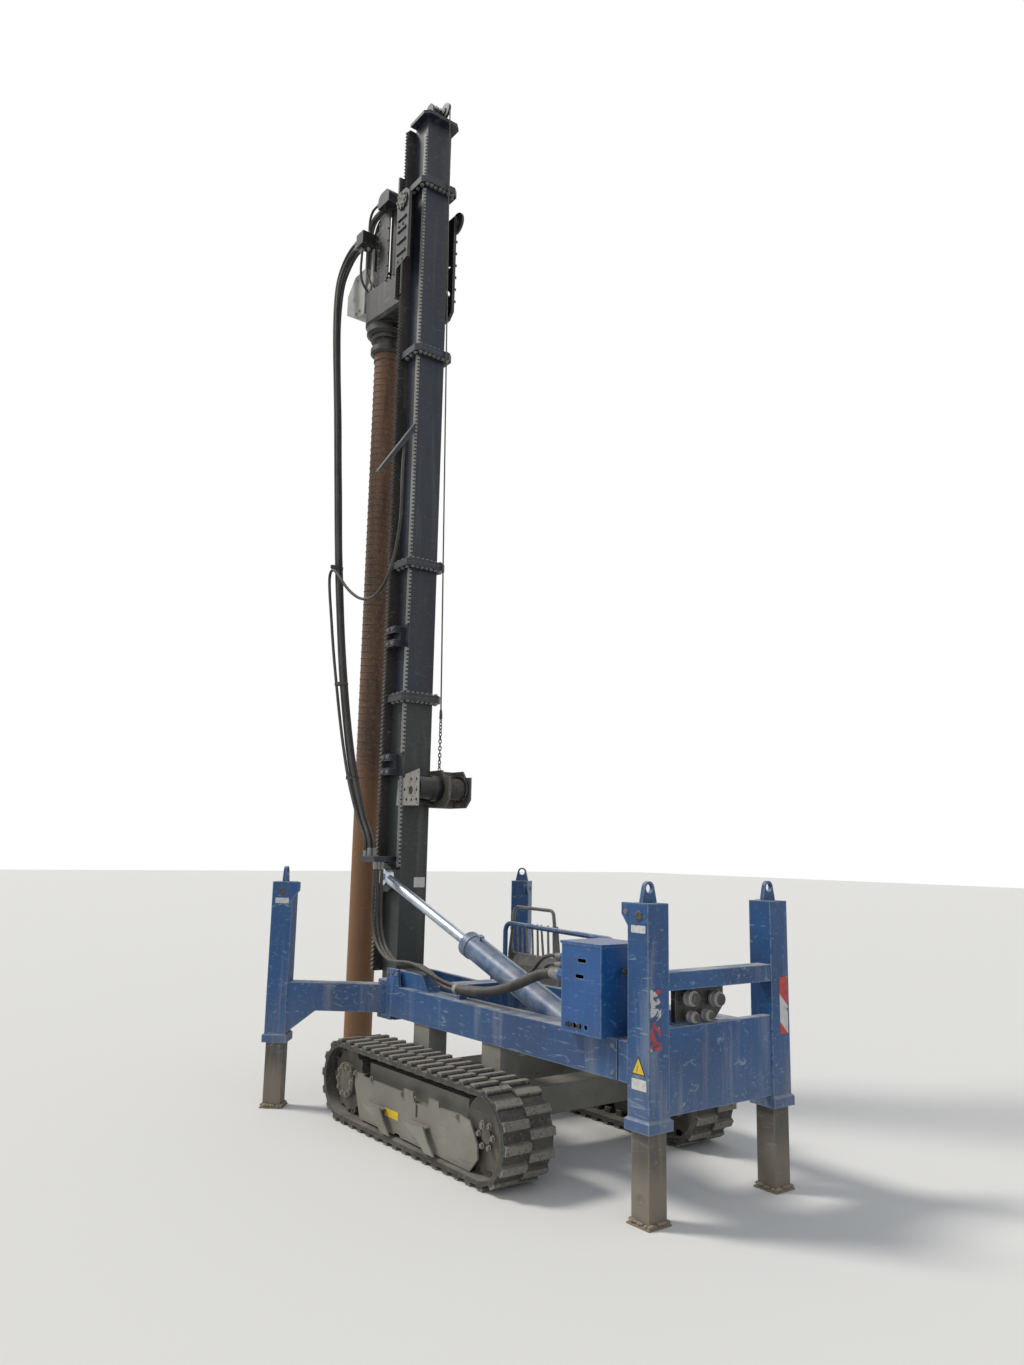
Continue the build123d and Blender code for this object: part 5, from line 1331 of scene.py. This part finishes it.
# weld beads on the blue frame, each from a place to a place and its mirror on the other side
weld = {"radius": 3.2, "sides": 6, "step": 0.006, "wave": 0.22, "turn": 2.4, "runs": (
    ((141, 525, 622), (141, 525, 806)), ((141, 376, 808), (141, 525, 808)),
    ((2, 385, 1050), (2, 385, 1133)), ((6, 385, 480), (6, 385, 872)),
    ((1992, 391, 808), (2424, 391, 808)), ((1992, 485, 808), (2424, 485, 808)))}


def weldBead(shape, first, last):
    count = max(int((last - first).length / weld["step"]), 4)
    line = [first.lerp(last, i / count) for i in range(count + 1)]
    before = len(shape.form.verts)
    shape.tube(line, weld["radius"], weld["sides"])
    for i, vert in enumerate(shape.form.verts[:][before:]):
        ring = i // weld["sides"]
        vert.co += (vert.co - line[ring]) * (weld["wave"] * math.sin(ring * weld["turn"]))


def makeWelds():
    shape = Shaper()
    for side in (-1, 1):
        for run in weld["runs"]:
            weldBead(shape, *[at(x, side * y, z) for x, y, z in run])
    shape.onBody("frameWelds", "chassis", "bluePaint", "blue_paint")


# lid hinges, latch and cable glands of the cabinet
cabinetParts = {
    "hinge": ((0, 6), (2, 7), (62, 7), (64, 6)), "hingeX": (278, 508),
    "gland": ((0, 13), (2.5, 14), (4, 12.6), (3, 9), (-2, 8.4)), "glandX": (498.7, 459.5, 414.4),
    "latch": ((0, 16), (6, 16), (8, 13), (16, 11), (17, 8)), "handle": (226, 232, 440, 456, 1096, 1132),
}


def makeCabinetParts():
    shape = Shaper()
    for x in cabinetParts["hingeX"]:
        shape.turned(at(x, 294, 1236), front, cabinetParts["hinge"], 12)
    for x in cabinetParts["glandX"]:
        shape.turned(at(x, 600.6, 844), left, cabinetParts["gland"])
    shape.turned(at(246.6, 448, 1120), rear, cabinetParts["latch"])
    shape.block(*cabinetParts["handle"])
    shape.onBody("cabinetParts", "chassis", "labelBlack", "rack_steel", 1.0)


# clay and sand packed around the feet, in a square that turns with the post
clay = {
    "clayRearLeft": {"body": "leg_rear_left", "middle": (70, 455), "turn": 0.0},
    "clayRearRight": {"body": "leg_rear_right", "middle": (70, -455), "turn": 0.0},
    "clayFrontLeft": {"body": "leg_front_left", "middle": (armLeft.x, armLeft.y), "turn": armTurn},
    "clayFrontRight": {"body": "leg_front_right", "middle": (armLeft.x, -armLeft.y), "turn": -armTurn},
}
lumps = {"count": 26, "goldenTurn": 2.399, "half": 65.34, "floor": 14, "size": 7, "more": 5,
         "stretch": Vector((1.5, 1.4, 0.8))}


def makeClay():
    for name, heap in clay.items():
        form = bmesh.new()
        x, y = heap["middle"]
        for n in range(lumps["count"]):
            a = n * lumps["goldenTurn"]
            size = lumps["size"] + lumps["more"] * math.sin(n * 3.1) ** 2
            reach = lumps["half"] / max(abs(math.cos(a)), abs(math.sin(a)))
            spot = Vector((reach * math.cos(a), reach * math.sin(a), 0))
            spot.rotate(Matrix.Rotation(heap["turn"], 3, "Z"))
            middle = at(x + spot.x, y + spot.y, lumps["floor"] + size * 0.55 + 3 * math.sin(n * 5.3))
            for vert in bmesh.ops.create_icosphere(form, subdivisions=2, radius=size / 1000)["verts"]:
                dent = 1 + 0.2 * math.sin(vert.co.x * 900 + n) * math.cos(vert.co.y * 800)
                vert.co = middle + vert.co * lumps["stretch"] * dent
        mesh = bpy.data.meshes.new(name)
        form.to_mesh(mesh)
        form.free()
        mesh.materials.append(finishes["clayLumps"])
        mesh.shade_smooth()
        mount(name, mesh, heap["body"])


mastBolts()
makeSideRack()
makeRackHead()
makeWinchPlate()
makeHoistRope()
makeCrownSheave()
makeHoistChain()
makeDrumRope()
makeTubeSeam()
makeTrackHorns()
makePlates()
makePostPlugs()
makeLegRings()
makeEarBolts()
makePostLabel()
makeFrameBolts()
makeHeadBolts()
makeCarriageRibs()
makeManifoldLeg()
makeFittings()
makeCouplings()
makeStraps()
makeWelds()
makeCabinetParts()
makeClay()
print("all pieces are on")
